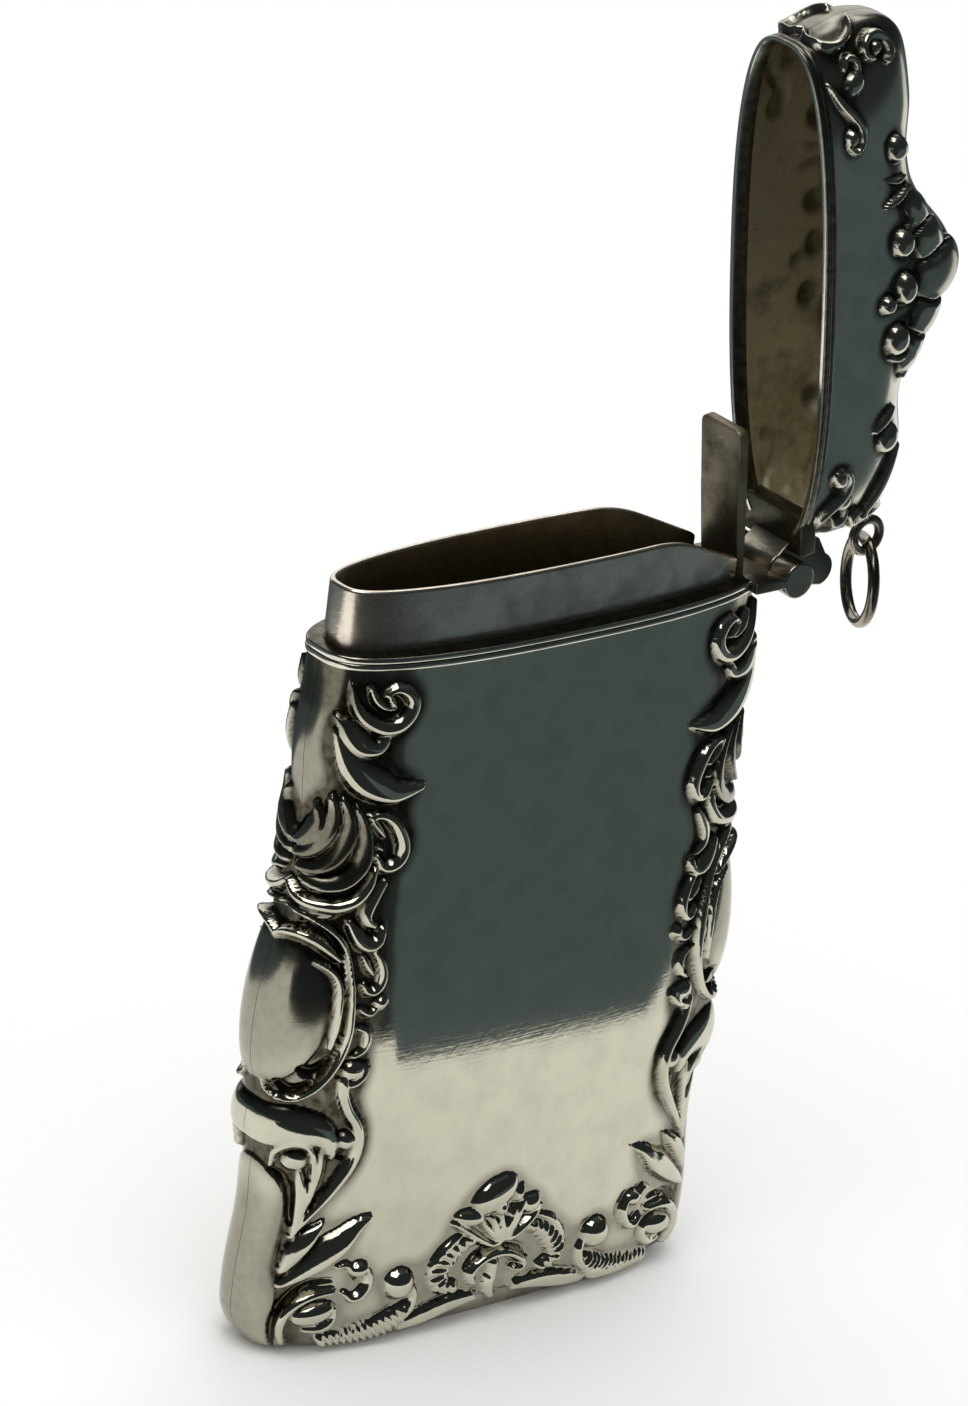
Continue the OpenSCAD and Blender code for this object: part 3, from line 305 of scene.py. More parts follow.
def chase_palmette(work):
    """The palmette over the middle of the bottom edge, with its reeded ears and the lip below."""
    scroll, boss, line, reeds = work.scroll, work.boss, work.line, work.reeds
    boss((-1.2, 10.45), (2.2, 1.35), 0.9, turn=24)
    boss((1.1, 10.1), (0.4, 0.75), 0.55, turn=-20)
    boss((-3.3, 9.0), (1.45, 0.68), 0.75, turn=-14)
    boss((2.3, 9.0), (0.95, 0.78), 0.7, turn=28)
    boss((-0.7, 9.35), (0.62, 0.62), 0.95)
    for petal in ([(-0.5, 6.5), (-1.3, 7.4), (-2.2, 8.5)], [(-0.3, 6.5), (-0.8, 7.6), (-1.35, 8.7)],
                  [(-0.1, 6.5), (-0.25, 7.6), (-0.5, 8.7)], [(0.1, 6.5), (0.4, 7.7), (0.75, 9.0)],
                  [(0.3, 6.6), (0.9, 7.8), (1.5, 9.5)]):
        scroll(petal, 0.36, 0.36, 0.6, ends=(0.6, 0.8))
    scroll([(-4.7, 8.8), (-3.4, 7.9), (-2.2, 7.0), (-1.2, 6.4), (-0.3, 6.3)], 0.45, 0.32, 0.75)
    scroll([(3.2, 8.8), (2.4, 7.9), (1.3, 7.0), (0.3, 6.4)], 0.32, 0.45, 0.75)
    scroll([(-2.5, 3.2), (-2.75, 4.0), (-2.3, 4.8), (-1.5, 5.3), (-0.5, 5.45), (0.6, 5.2), (1.5, 4.6),
            (2.1, 4.0), (1.9, 3.4), (1.3, 3.5)], 0.45, 0.45, 0.75, ends=(0.8, 0.7))
    line([(-3.1, 4.6), (-2.5, 5.5), (-1.5, 5.95), (-0.3, 6.05), (1.0, 5.85), (2.2, 5.2), (2.7, 4.2)],
         0.28, 0.3)
    scroll([(-0.6, 4.6), (-0.7, 3.4), (-0.9, 2.2), (-0.5, 1.0), (0.3, 0.2)], 0.55, 0.55, 0.65, ends=(0.8, 1))
    reeds([(-3.2, 7.1), (-4.4, 6.5), (-5.3, 5.6), (-5.6, 4.6), (-5.1, 3.7), (-4.2, 3.3)], 0.95, 0.75, 0.62)
    scroll([(-3.8, 7.8), (-5.0, 7.1), (-6.0, 6.0), (-6.5, 4.8)], 0.35, 0.35, 0.5)
    reeds([(2.8, 7.0), (3.9, 6.2), (4.7, 5.3), (5.2, 4.4), (4.9, 3.6), (4.0, 3.2)], 0.92, 0.75, 0.62)
    scroll([(3.1, 7.9), (4.4, 7.2), (5.4, 6.1), (5.9, 4.9)], 0.35, 0.35, 0.5)
    # lip, drawn on both sides: once with s turned round, then as it is
    for work.s in (-work.s, work.s):
        scroll([(8.9, 1.0), (6.5, 1.3), (4.5, 1.45), (2.0, 1.1)], 0.95, 0.95, 0.5, ends=(0.5, 0.7), power=0.5)
        line([(7.8, 2.0), (6.0, 2.35), (4.4, 2.55), (2.9, 2.45)], 0.2, 0.3)
        line([(2.3, 2.4), (1.7, 1.3), (1.3, 0.4)], 0.22, 0.3)


def set_piece(name, bm, finishes=()):
    mesh = bpy.data.meshes.new(name)
    bm.to_mesh(mesh)
    bm.free()
    for finish in finishes:
        mesh.materials.append(finish)
    piece = bpy.data.objects.new(name, mesh)
    bpy.context.collection.objects.link(piece)
    return piece


def lay_sheet(name, points, recess, fold):
    """A grid laid over the points, its four edges folded in by the thickness of the sheet."""
    normal = outward(points)
    if fold:
        points, normal, recess = (np.pad(a, [(1, 1), (1, 1)] + [(0, 0)] * (a.ndim - 2), mode="edge")
                                  for a in (points, normal, recess))
        rim = np.zeros(recess.shape, bool)
        rim[[0, -1], :] = rim[:, [0, -1]] = True
        points = np.where(rim[..., None], points - fold * normal, points)
    rows, columns = recess.shape
    bm = bmesh.new()
    bmesh.ops.create_grid(bm, x_segments=columns - 1, y_segments=rows - 1, size=1)
    flat = np.array([v.co for v in bm.verts])
    column = np.rint((flat[:, 0] + 1) / 2 * (columns - 1)).astype(int)
    row = np.rint((flat[:, 1] + 1) / 2 * (rows - 1)).astype(int)
    for vert, place in zip(bm.verts, points[row, column] * MM):
        vert.co = place
    for face in bm.faces:
        face.smooth = True
    if fold:
        ring = (row == 1) | (row == rows - 2) | (column == 1) | (column == columns - 2)
        for edge in bm.edges:
            edge.smooth = not (ring[edge.verts[0].index] and ring[edge.verts[1].index])
    piece = set_piece(name, bm)
    tarnish = piece.data.attributes.new("recess", "FLOAT", "POINT")
    tarnish.data.foreach_set("value", recess[row, column].astype(np.float32))
    return piece


def add_node(tree, kind, **settings):
    node = tree.nodes.new(kind)
    sockets = settings.pop("sockets", {})
    for key, value in settings.items():
        setattr(node, key, value)
    for key, value in sockets.items():
        if isinstance(value, bpy.types.NodeSocket):
            tree.links.new(value, node.inputs[key])
        else:
            node.inputs[key].default_value = value
    return node


def old_silver_group():
    """Old polished metal: bloom in clouds, hairline scratches, and tarnish left in the recesses, laid on by a
    mask on each piece that paints shade as well.
    """
    group = bpy.data.node_groups.new("old_silver", "ShaderNodeTree")
    for way, kind, labels in (("INPUT", "Float", "Recess Bloom Roughness"),
                              ("INPUT", "Color", "Polished Tarnish"),
                              ("OUTPUT", "Float", "Roughness Height"), ("OUTPUT", "Color", "Color")):
        for label in labels.split():
            group.interface.new_socket(label, in_out=way, socket_type=f"NodeSocket{kind}")
    given, made = group.nodes.new("NodeGroupInput"), group.nodes.new("NodeGroupOutput")

    def noise(where, scale, detail, roughness=0.5):
        return add_node(group, "ShaderNodeTexNoise", sockets={
            "Vector": where, "Scale": scale, "Detail": detail, "Roughness": roughness}).outputs[0]

    def spread(value, low, high, to_low=0.0, to_high=1.0):
        return add_node(group, "ShaderNodeMapRange", sockets={
            0: value, 1: low, 2: high, 3: to_low, 4: to_high}).outputs[0]

    def reckon(operation, *values):
        return add_node(group, "ShaderNodeMath", operation=operation,
                        sockets=dict(enumerate(values))).outputs[0]

    place = add_node(group, "ShaderNodeTexCoord").outputs["Object"]
    streaks = add_node(group, "ShaderNodeMapping", sockets={
        "Vector": place, "Scale": (260.0, 2600.0, 5200.0), "Rotation": (0.0, 0.5, 0.3)}).outputs[0]
    hairs = noise(streaks, 1.0, 2.0)
    cloud = spread(noise(place, 380.0, 5.0, 0.6), 0.42, 0.72)
    speck = spread(noise(place, 1500.0, 3.0), 0.4, 0.65)
    bloom = reckon("MULTIPLY", cloud, given.outputs["Bloom"])
    patchy = spread(speck, 0.0, 1.0, 0.88, 1.0)
    # each piece's mask darkens the colour: tarnish and painted shade together
    grime_and_shade = reckon("MULTIPLY", spread(given.outputs["Recess"], 0.1, 0.9), patchy)
    stain_and_shade = reckon("MAXIMUM", bloom, grime_and_shade)
    colour = add_node(group, "ShaderNodeMix", data_type="RGBA", sockets={
        0: stain_and_shade, 6: given.outputs["Polished"], 7: given.outputs["Tarnish"]}).outputs[2]
    rough = reckon("MULTIPLY_ADD", stain_and_shade, 0.16, given.outputs["Roughness"])
    height = reckon("MULTIPLY_ADD", speck, 0.5, hairs)
    for label, socket in (("Color", colour), ("Roughness", rough), ("Height", height)):
        group.links.new(socket, made.inputs[label])
    return group


old_silver = old_silver_group()


def silver_finish(name, polished, tarnish, bloom, roughness, scratch, with_tarnish_shade=False):
    finish = bpy.data.materials.new(name)
    finish.use_nodes = True
    tree = finish.node_tree
    shader = tree.nodes["Principled BSDF"]
    shader.inputs["Metallic"].default_value = 1.0
    wear = add_node(tree, "ShaderNodeGroup", node_tree=old_silver,
                    sockets={"Polished": (*polished, 1), "Tarnish": (*tarnish, 1), "Bloom": bloom,
                             "Roughness": roughness})
    if with_tarnish_shade:
        depth = add_node(tree, "ShaderNodeAttribute", attribute_name="recess")
        tree.links.new(depth.outputs["Fac"], wear.inputs["Recess"])
    bump = add_node(tree, "ShaderNodeBump", sockets={"Height": wear.outputs["Height"], "Strength": scratch,
                                                     "Distance": 0.00002})
    for socket, source in (("Base Color", wear.outputs["Color"]), ("Roughness", wear.outputs["Roughness"]),
                           ("Normal", bump.outputs[0])):
        tree.links.new(source, shader.inputs[socket])
    return finish


chased_silver = silver_finish(
    "chased_silver", (0.60, 0.58, 0.465), (0.05, 0.04, 0.025), 0.15, 0.07, 0.1, with_tarnish_shade=True)
shell_inside = silver_finish(
    "shell_inside", (0.30, 0.26, 0.17), (0.10, 0.08, 0.05), 0.6, 0.34, 0.5, with_tarnish_shade=True)

PANEL_HALF, PALMETTE_TOP = 8, 13
case_s = np.concatenate([np.linspace(-HALF_RUN, -PANEL_HALF, 99, endpoint=False),
                         np.linspace(-PANEL_HALF, PANEL_HALF, 80, endpoint=False),
                         np.linspace(PANEL_HALF, HALF_RUN, 100)])
foot_turn = np.linspace(0, np.pi / 2, 22, endpoint=False)
case_z = np.concatenate([SHELL_LIFT + BASE_ROUND * (1 - np.cos(foot_turn)),
                         np.linspace(SHELL_LIFT + BASE_ROUND, PALMETTE_TOP, 68, endpoint=False),
                         np.linspace(PALMETTE_TOP, CASE_TALL, 246)])


def case_grid(runs, heights):
    """The grid of (s, z) over a shell, its hinge end drawn back where the lever swings."""
    s, z = np.meshgrid(runs, heights)
    stop_turn = math.acos((LEVER_NOTCH_HALF / (END_DEPTH / 2)) ** (PLAN_POWER / 2))
    start = np.interp(stop_turn, plan_turns, plan_runs) - DRAWN_BACK
    drawn = np.where(s > start, start + (s - start) * DRAWN_BACK / (HALF_RUN - start), s)
    return np.where(z > LEVER_NOTCH_LOW, drawn, s), z


FADE_LOW, FADE_HIGH, SEAM_FADE, BORDER_FROM = 0.8, 0.5, 0.5, 15.5
CONCH_SHADE, RIM_SHADE, INSIDE_DARK, BOTTOM_LESS = 0.72, 0.8, 0.5, 0.45


def ramp(value, begin, run):
    return np.clip((value - begin) / run, 0, 1)


def raise_sheet(points, height, off_seam):
    """The sheet moved out by its relief, with its edges along the seam kept in the seam's plane."""
    out = outward(points)
    out[..., 1] *= ramp(off_seam, 0, SEAM_FADE)
    return points + height[..., None] * out


def both_shells(names, outer, dark, lining, stain_and_shade, finishes):
    """The front and the back shell, each a folded sheet and its inside, with the side that they are on."""
    for side, turn in (("front", 1), ("back", -1)):
        mirror = np.array([1, turn, 1])
        sheet = lay_sheet(names[0].format(side), (outer * mirror)[:, ::turn], dark[:, ::turn], SHEET)
        inner = lay_sheet(names[1].format(side), (lining * mirror)[:, ::-turn], stain_and_shade[:, ::-turn], 0)
        for piece, finish in zip((sheet, inner), finishes):
            piece.data.materials.append(finish)
            yield piece, side


s, z = case_grid(case_s, case_z)
chased = Chasing(-abs(s), z)
chase_border(chased)
chased.s = s
chase_palmette(chased)
relief = (chased.h - chased.cut) * ramp(z, SHELL_LIFT, FADE_LOW) * ramp(z, CASE_TALL, -FADE_HIGH)
# tarnish, with painted shade: a painted dark reflection over the conch and painted shade under the rim, both
# on top of the tarnish, and less of it along the bottom
CONCH_S, CONCH_Z, CONCH_WIDE, CONCH_TALL = 18.9, 41.2, 3.6, 4.2
conch_shade = ramp(np.hypot((abs(s) - CONCH_S) / CONCH_WIDE, (z - CONCH_Z) / CONCH_TALL), 1, -1 / 3)
rim_shade = ramp(z, 49, 2.5) * ramp(abs(s), 17.5, 1.5)
low_along_bottom = ramp(z, 15, -3) * ramp(abs(s), 18, -2)
tarnish_and_shade = patina_and_shade(chased, relief, 6, ramp(abs(s), BORDER_FROM, 2)) * (1 - BOTTOM_LESS * low_along_bottom)
# painted shade: the conch and the band under the rim are darkened as if shaded
tarnish_and_shade = np.maximum(tarnish_and_shade, np.maximum(CONCH_SHADE * conch_shade, RIM_SHADE * rim_shade))
face = raise_sheet(case_surface(s, z, 0), relief, HALF_RUN - abs(s))
inside_s, inside_z = case_grid(np.linspace(-HALF_RUN, HALF_RUN, 61), np.linspace(SHELL_LIFT, CASE_TALL, 56))
lining = case_surface(inside_s, inside_z, SHEET) + np.array([0, SEAM / 2, 0])
for piece, side in both_shells(("case_{}_shell", "case_{}_inside"), face, tarnish_and_shade, lining,
                               np.full(inside_s.shape, INSIDE_DARK), (chased_silver, shell_inside)):
    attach(piece, "case")
    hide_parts(f"body_{side}_shell")

# Striker base. A cast plate of dull silver let in between the shells at the bottom, its underside cut
# with grooves that a match is struck on.
dull_silver = silver_finish("dull_silver", (0.46, 0.43, 0.37), (0.12, 0.09, 0.06), 0.7, 0.3, 0.6)


def coat(node, finish):
    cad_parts[node].data.materials.clear()
    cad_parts[node].data.materials.append(finish)


coat("base_striker", dull_silver)

# Liner. A plain strip bent to the plan of the rim and soldered inside it; it stands up to guide the lid,
# slopes down towards the hinge and is open there for the lever.
RIM_Z = 55.72
LINER_STEP, LINER_WALL = 0.98, 0.5
LINER_UP, LINER_DOWN, LINER_LOW, LINER_SLOPE, LINER_SHOULDER = 4.6, 6.0, 0.8, 9.0, 0.25
BEAD_SHARE, RUBBED_FROM, RUBBED_RUN = 0.3, 0.31, 0.12


def rim_point(turn, out):
    u = spow(np.cos(turn), 2 / PLAN_POWER)
    x = (CASE_WIDE / 2 + np.where(out > 0, BEAD_SHARE, 1) * out) * u
    return x, plan_depth(u, -out) * spow(np.sin(turn), 2 / PLAN_POWER)


def sweep_rim(name, profile, gaps, low, finishes, top_at=None):
    """A profile of (out, up) points swept round the rim between two gap angles, closed at its ends."""
    stations = 260
    rows = len(profile) + 1
    bm = bmesh.new()
    tarnish = bm.verts.layers.float.new("recess")
    bmesh.ops.create_grid(bm, x_segments=stations, y_segments=rows - 1, size=1)
    for vert in bm.verts:
        along = (vert.co.x + 1) / 2
        k = round((vert.co.y + 1) / 2 * (rows - 1)) % len(profile)
        out, up = profile[k]
        turn = gaps[k] + (2 * math.pi - 2 * gaps[k]) * along
        x, y = (float(a) for a in rim_point(turn, out))
        vert.co = Vector((x, y, low + (up if top_at is None else top_at(x, up)))) * MM
        vert[tarnish] = float(ramp(out, RUBBED_FROM, -RUBBED_RUN))
    bmesh.ops.remove_doubles(bm, verts=bm.verts, dist=1e-7)
    bmesh.ops.holes_fill(bm, edges=[e for e in bm.edges if e.is_boundary], sides=0)
    bmesh.ops.recalc_face_normals(bm, faces=bm.faces)
    return finish_piece(name, bm, 40, *finishes)


def finish_piece(name, bm, sharp, *finishes):
    for face in bm.faces:
        face.smooth = True
    piece = set_piece(name, bm, finishes)
    piece.data.set_sharp_from_angle(angle=math.radians(sharp))
    return piece


def gap_at(half_y, out):
    """The turn from the hinge end at which the plan is half_y from the middle."""
    turns = np.linspace(0, math.pi / 2, 4001)
    return float(np.interp(half_y, rim_point(turns, np.float64(out))[1], turns))


def liner_height(x, up):
    along = (x - CASE_WIDE / 2 + LINER_STEP) / LINER_SLOPE + 1
    if abs(along) < LINER_SHOULDER:
        along = (along + LINER_SHOULDER) ** 2 / (4 * LINER_SHOULDER)
    return up if up < 0 else up - (LINER_UP - LINER_LOW) * min(1, max(0, along))


def arc(x, h, radius, begin, end, count):
    return [(x + radius * math.cos(a), h + radius * math.sin(a))
            for a in np.linspace(math.radians(begin), math.radians(end), count)]


lip = arc(-LINER_STEP - LINER_WALL / 2, LINER_UP - LINER_WALL / 2, LINER_WALL / 2, 0, 180, 9)
liner_line = ([(-LINER_STEP, up) for up in (-LINER_DOWN, -0.01, 0.4, 1.5)] + lip
              + [(-LINER_STEP - LINER_WALL, up) for up in (1.5, -0.01, -LINER_DOWN)])
liner_gaps = [gap_at(LEVER_NOTCH_HALF, out) for out, up in liner_line]
liner_silver = silver_finish("liner_silver", (0.88, 0.79, 0.66), (0.28, 0.21, 0.165), 0.5, 0.26, 0.4)
liner_inside = silver_finish("liner_inside", (0.42, 0.35, 0.23), (0.13, 0.10, 0.06), 0.6, 0.34, 0.5)
liner = sweep_rim("rim_liner", liner_line, liner_gaps, RIM_Z, (liner_silver, liner_inside), liner_height)
for wall in liner.data.polygons:
    inward = wall.normal.x * wall.center.x + wall.normal.y * wall.center.y < 0
    wall.material_index = 1 if inward and abs(wall.normal.z) < 0.5 else 0
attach(liner, "case")
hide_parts("body_liner")

# Rim moulding of the case. Two drawn half-round wires of silver, soldered side by side around the mouth
# and stopped on both sides of the hinge.
MOULDING, BEAD_OUT, LINER_SEAT = 1.02, 0.38, 0.05
BEAD = MOULDING / 4


def bead_line(inset):
    lower, upper = (arc(BEAD_OUT - BEAD, up, BEAD, -90, 90, 11) for up in (BEAD, 3 * BEAD))
    return [(-inset, 0.0)] + lower + upper[1:] + [(-inset, MOULDING)]


TAB_FROM = CASE_WIDE / 2 - 2.0
case_gap = math.acos(((TAB_FROM - LINER_SEAT) / (CASE_WIDE / 2 + BEAD_SHARE * BEAD_OUT)) ** (PLAN_POWER / 2))
rim_profile = bead_line(LINER_STEP - LINER_SEAT)
wire_silver = silver_finish(
    "wire_silver", (0.80, 0.77, 0.66), (0.06, 0.05, 0.03), 0.25, 0.1, 0.15, with_tarnish_shade=True)
rim_moulding = sweep_rim("case_rim_moulding", rim_profile, [case_gap] * len(rim_profile), CASE_TALL,
                         [wire_silver])
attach(rim_moulding, "case")
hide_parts("body_rim_moulding")

# Hinge of the case. Two drawn barrels of silver, one on each side of the lid's own, with tabs that are
# soldered over the rim.
HINGE_X, HINGE_Z = 21.75, 55.2
BARREL, HINGE_LONG, LEAF_LONG, KNUCKLE_GAP = 2.8, 8.2, 4.0, 0.1
TAB_THICK, TAB_LIFT, TAB_PLAY = 0.85, 0.05, 0.02
BARREL_SOFT, TAB_SOFT, RUBBED, GRIME_AND_SHADE = 0.16, 0.14, 0.15, 0.75


def edges_of(made):
    return {e for v in made["verts"] for e in v.link_edges}


def lies_flat(edge, axis):
    return abs(edge.verts[0].co[axis] - edge.verts[1].co[axis]) < 1e-6


def soften(bm, edges, offset, segments=3):
    return bmesh.ops.bevel(bm, geom=edges, offset=offset, segments=segments, profile=0.5, affect="EDGES",
                           material=-1)


def add_barrel(bm, diameter, y_from, y_to, x, z, soft):
    made = bmesh.ops.create_cone(bm, cap_ends=True, segments=56, radius1=diameter / 2, radius2=diameter / 2,
                                 depth=y_to - y_from)
    bmesh.ops.rotate(bm, verts=made["verts"], cent=(0, 0, 0), matrix=Matrix.Rotation(math.pi / 2, 3, "X"))
    bmesh.ops.translate(bm, verts=made["verts"], vec=(x, (y_from + y_to) / 2, z))
    soften(bm, [e for e in edges_of(made) if lies_flat(e, 1)], soft)


def add_block(bm, low, high, soft):
    made = bmesh.ops.create_cube(bm, size=1)
    size = Vector(high) - Vector(low)
    bmesh.ops.scale(bm, verts=made["verts"], vec=size)
    bmesh.ops.translate(bm, verts=made["verts"], vec=(Vector(high) + Vector(low)) / 2)
    soften(bm, list(edges_of(made)), soft)


def add_grime_and_shade(bm):
    """Grime, and painted shade with it, on all that stands off the hinge's barrels, where no hand rubs."""
    grime_and_shade = bm.verts.layers.float.new("recess")
    for vert in bm.verts:
        off = math.hypot(vert.co.x - HINGE_X, vert.co.z - HINGE_Z) - BARREL / 2
        vert[grime_and_shade] = RUBBED if off < 0.05 else GRIME_AND_SHADE


hinge_silver = silver_finish(
    "hinge_silver", (0.42, 0.39, 0.31), (0.05, 0.042, 0.026), 0.8, 0.22, 0.5, with_tarnish_shade=True)
for side, y_from, y_to in (("front", -HINGE_LONG / 2, -LEAF_LONG / 2 - KNUCKLE_GAP),
                           ("back", LEAF_LONG / 2 + KNUCKLE_GAP, HINGE_LONG / 2)):
    bm = bmesh.new()
    add_barrel(bm, BARREL, y_from, y_to, HINGE_X, HINGE_Z, BARREL_SOFT)
    add_block(bm, (TAB_FROM, y_from + TAB_PLAY, CASE_TALL + TAB_LIFT),
              (HINGE_X, y_to - TAB_PLAY, CASE_TALL + TAB_LIFT + TAB_THICK), TAB_SOFT)
    add_grime_and_shade(bm)
    bmesh.ops.scale(bm, verts=bm.verts, vec=(MM, MM, MM))
    knuckle = finish_piece(f"hinge_barrel_{side}", bm, 35, hinge_silver)
    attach(knuckle, "case")
    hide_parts(f"hinge_knuckle_{side}")

# Pin, leaf spring, its foot block and two rivets. Plain steel but for the block of dull silver, which is
# soldered inside the hinge end and carries the riveted spring. They are seen only down the mouth.
steel = silver_finish("old_steel", (0.36, 0.33, 0.27), (0.12, 0.08, 0.05), 0.8, 0.32, 0.8)
coat("spring_block", dull_silver)
for node in ("hinge_pin", "leaf_spring", "spring_rivets"):
    coat(node, steel)

# Lid shells. Two stamped sheets of silver like the case's, soldered along the lid's top and ends, with a
# shell crest over the middle. They are drawn shut and swung open about the hinge.
LID_TALL, LID_OPEN, LID_POWER, LID_CORNER, LID_SWELL = 10.7, 82, 3.0, 3.0, 0.9
LID_LIFT, LID_END_FROM, DIMPLE, SMOKE, PAINTED_LIGHT_FALL = 0.12, 16, 0.9, 0.35, 0.025
MOUTH_Z = RIM_Z + LID_LIFT
CREST, CREST_REACH = 4.3, 8.0
DIP, DIP_X, DIP_REACH = 0.5, 10, 4
HINGE = Vector((HINGE_X, 0, HINGE_Z))


def opened(points):
    c, k = math.cos(math.radians(LID_OPEN)), math.sin(math.radians(LID_OPEN))
    x, z = points[..., 0] - HINGE_X, points[..., 2] - HINGE_Z
    return np.stack([HINGE_X + x * c + z * k, points[..., 1], HINGE_Z - x * k + z * c], axis=-1)


def lid_half_wide(h):
    corner = np.clip(h - LID_TALL + LID_CORNER, 0, LID_CORNER)
    return (CASE_WIDE / 2 + LID_SWELL * swell(h, LID_TALL / 2, LID_TALL / 2)
            - (LID_CORNER - np.sqrt(LID_CORNER ** 2 - corner ** 2)))


def lid_surface(s, rise, inset):
    climb, close = np.sin(rise) ** (2 / LID_POWER), np.abs(np.cos(rise)) ** (2 / LID_POWER)
    x, y = plan_point(turn_at(s), lid_half_wide(MOULDING + climb * (LID_TALL - MOULDING)), close, inset)
    top = LID_TALL + CREST * swell(x, 0, CREST_REACH) - DIP * swell(abs(x), DIP_X, DIP_REACH)
    h = MOULDING + climb * (top - inset - MOULDING)
    return np.stack([x, y, MOUTH_Z + h], axis=-1), h


def rise_rows(count):
    """Angles that share the curve from the mouth to the top seam evenly."""
    a = np.linspace(0, np.pi / 2, 4001)
    wall = MID_DEPTH / 2 * np.cos(a) ** (2 / LID_POWER)
    up = (LID_TALL - MOULDING) * np.sin(a) ** (2 / LID_POWER)
    run = np.concatenate([[0], np.cumsum(np.hypot(np.diff(wall), np.diff(up)))])
    return np.interp(np.linspace(0, run[-1], count), run, a)


def chase_lid(work):
    """The shell crest, the balls below it and the scrolls at the lid's ends."""
    scroll, boss, line = work.scroll, work.boss, work.line
    # lobes of the crest, one over the other, and the balls below them
    boss((-0.1, 11.6), (2.5, 2.9), 1.0)
    for work.s in (-work.s, work.s):
        boss((3.0, 10.3), (2.3, 1.7), 0.95, turn=-28)
        boss((5.4, 9.2), (2.1, 1.25), 0.9, turn=-30)
        line([(1.4, 9.3), (2.0, 10.9), (1.8, 13.0)], 0.25, 0.5)
        line([(3.6, 8.5), (4.4, 9.6), (4.5, 11.2)], 0.25, 0.45)
        scroll([(7.6, 8.4), (6.2, 8.9), (5.0, 8.6), (4.2, 7.9)], 0.4, 0.4, 0.7)
    boss((0.1, 7.8), (1.3, 1.0), 1.1)
    boss((0.9, 6.1), (0.75, 0.75), 0.85)
    boss((-3.4, 7.5), (1.15, 1.05), 1.05)
    boss((3.9, 7.2), (1.25, 1.15), 1.1)
    boss((-10.6, 7.2), (1.1, 1.0), 0.95)
    boss((12.0, 7.2), (1.15, 1.05), 0.95)
    scroll([(-8.4, 8.0), (-8.2, 7.0), (-8.4, 6.1)], 0.3, 0.3, 0.6)
    scroll([(-7.4, 8.3), (-6.9, 7.2), (-6.5, 5.8)], 0.35, 0.35, 0.65)
    scroll([(5.4, 8.6), (5.6, 7.6), (5.2, 6.6)], 0.3, 0.3, 0.6)
    scroll([(9.8, 7.6), (10.3, 6.7), (10.8, 5.8)], 0.5, 0.5, 0.6)
    scroll([(13.6, 8.6), (15.4, 7.6), (17.0, 6.6), (18.6, 5.6)], 0.7, 0.5, 0.7)
    # S scrolls over the moulding, and the volute and oval frame at the end
    scroll([(-17.2, 1.2), (-15.5, 2.1), (-14.2, 3.0), (-13.0, 3.65), (-12.0, 3.6), (-11.6, 3.0),
            (-12.2, 2.4)], 0.42, 0.42, 0.7)
    boss((-12.7, 2.75), (0.7, 0.6), 0.7)
    scroll([(18.6, 1.0), (16.8, 2.2), (15.5, 3.3), (14.4, 3.7), (13.5, 3.4), (13.2, 2.7)], 0.45, 0.45, 0.75)
    boss((14.0, 2.7), (0.85, 0.75), 0.8)
    for work.s in (-work.s, work.s):
        scroll([(17.0, 6.9), (17.7, 7.3), (18.6, 6.9), (19.0, 5.9), (18.6, 5.0), (17.8, 4.9), (17.4, 5.5)],
               0.45, 0.45, 0.85)
        boss((18.1, 6.0), (0.55, 0.6), 0.7)
        scroll([(17.0, 4.1), (17.8, 3.9), (18.2, 3.2), (17.5, 2.8)], 0.35, 0.35, 0.65)
        boss((16.3, 3.6), (0.8, 0.9), 0.5)
        scroll([(20.9, 4.9), (19.8, 4.3), (19.3, 3.0), (19.9, 1.7), (21.0, 1.3), (21.9, 2.0)], 0.4, 0.4, 0.75)


s, rise = np.meshgrid(np.linspace(-HALF_RUN, HALF_RUN, 300), rise_rows(112))
cover, h = lid_surface(s, rise, 0)
chased = Chasing(s, h)
chase_lid(chased)
off_leaf = np.where(s > LID_END_FROM, ramp(abs(cover[..., 1]), LEAF_LONG / 2 + 0.05, 0.8), 1)
relief = (chased.h - chased.cut) * ramp(h, MOULDING, 0.5) * off_leaf
tarnish_and_shade = patina_and_shade(chased, relief, 4, ramp(abs(s), LID_END_FROM + 0.5, 2))
cover = opened(cover + relief[..., None] * outward(cover))
under, _ = lid_surface(s[::2, ::2], rise[::2, ::2], SHEET)
dimples = softened(relief, 2)[::2, ::2] * DIMPLE
under = opened(raise_sheet(under, dimples, HALF_RUN - abs(s[::2, ::2])) + np.array([0, SEAM / 2, 0]))
lid_silver = silver_finish(
    "lid_silver", (0.60, 0.58, 0.48), (0.07, 0.062, 0.045), 0.2, 0.15, 0.1, with_tarnish_shade=True)
# the lid's inside: tarnish, with painted shade in the dimples and painted light that grows towards the hinge
# end
smoke_and_light = np.clip(dimples + SMOKE - PAINTED_LIGHT_FALL * s[::2, ::2], 0, 1)
lid_inside = silver_finish(
    "lid_inside", (0.95, 0.89, 0.68), (0.24, 0.20, 0.125), 0.75, 0.55, 0.9, with_tarnish_shade=True)
for piece, side in both_shells(("lid_{}_cover", "lid_{}_inside"), cover, tarnish_and_shade, under, smoke_and_light,
                               (lid_silver, lid_inside)):
    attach(piece, "lid")
    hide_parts(f"lid_{side}_shell")

# Rim moulding of the lid. The same two wires as on the case, soldered around the lid's mouth, stopped at
# the leaf and filed to a slope on the inside, so that the lid slides over the liner.
swing_open = (Matrix.Translation(HINGE) @ Matrix.Rotation(math.radians(LID_OPEN), 4, "Y")
              @ Matrix.Translation(-HINGE))


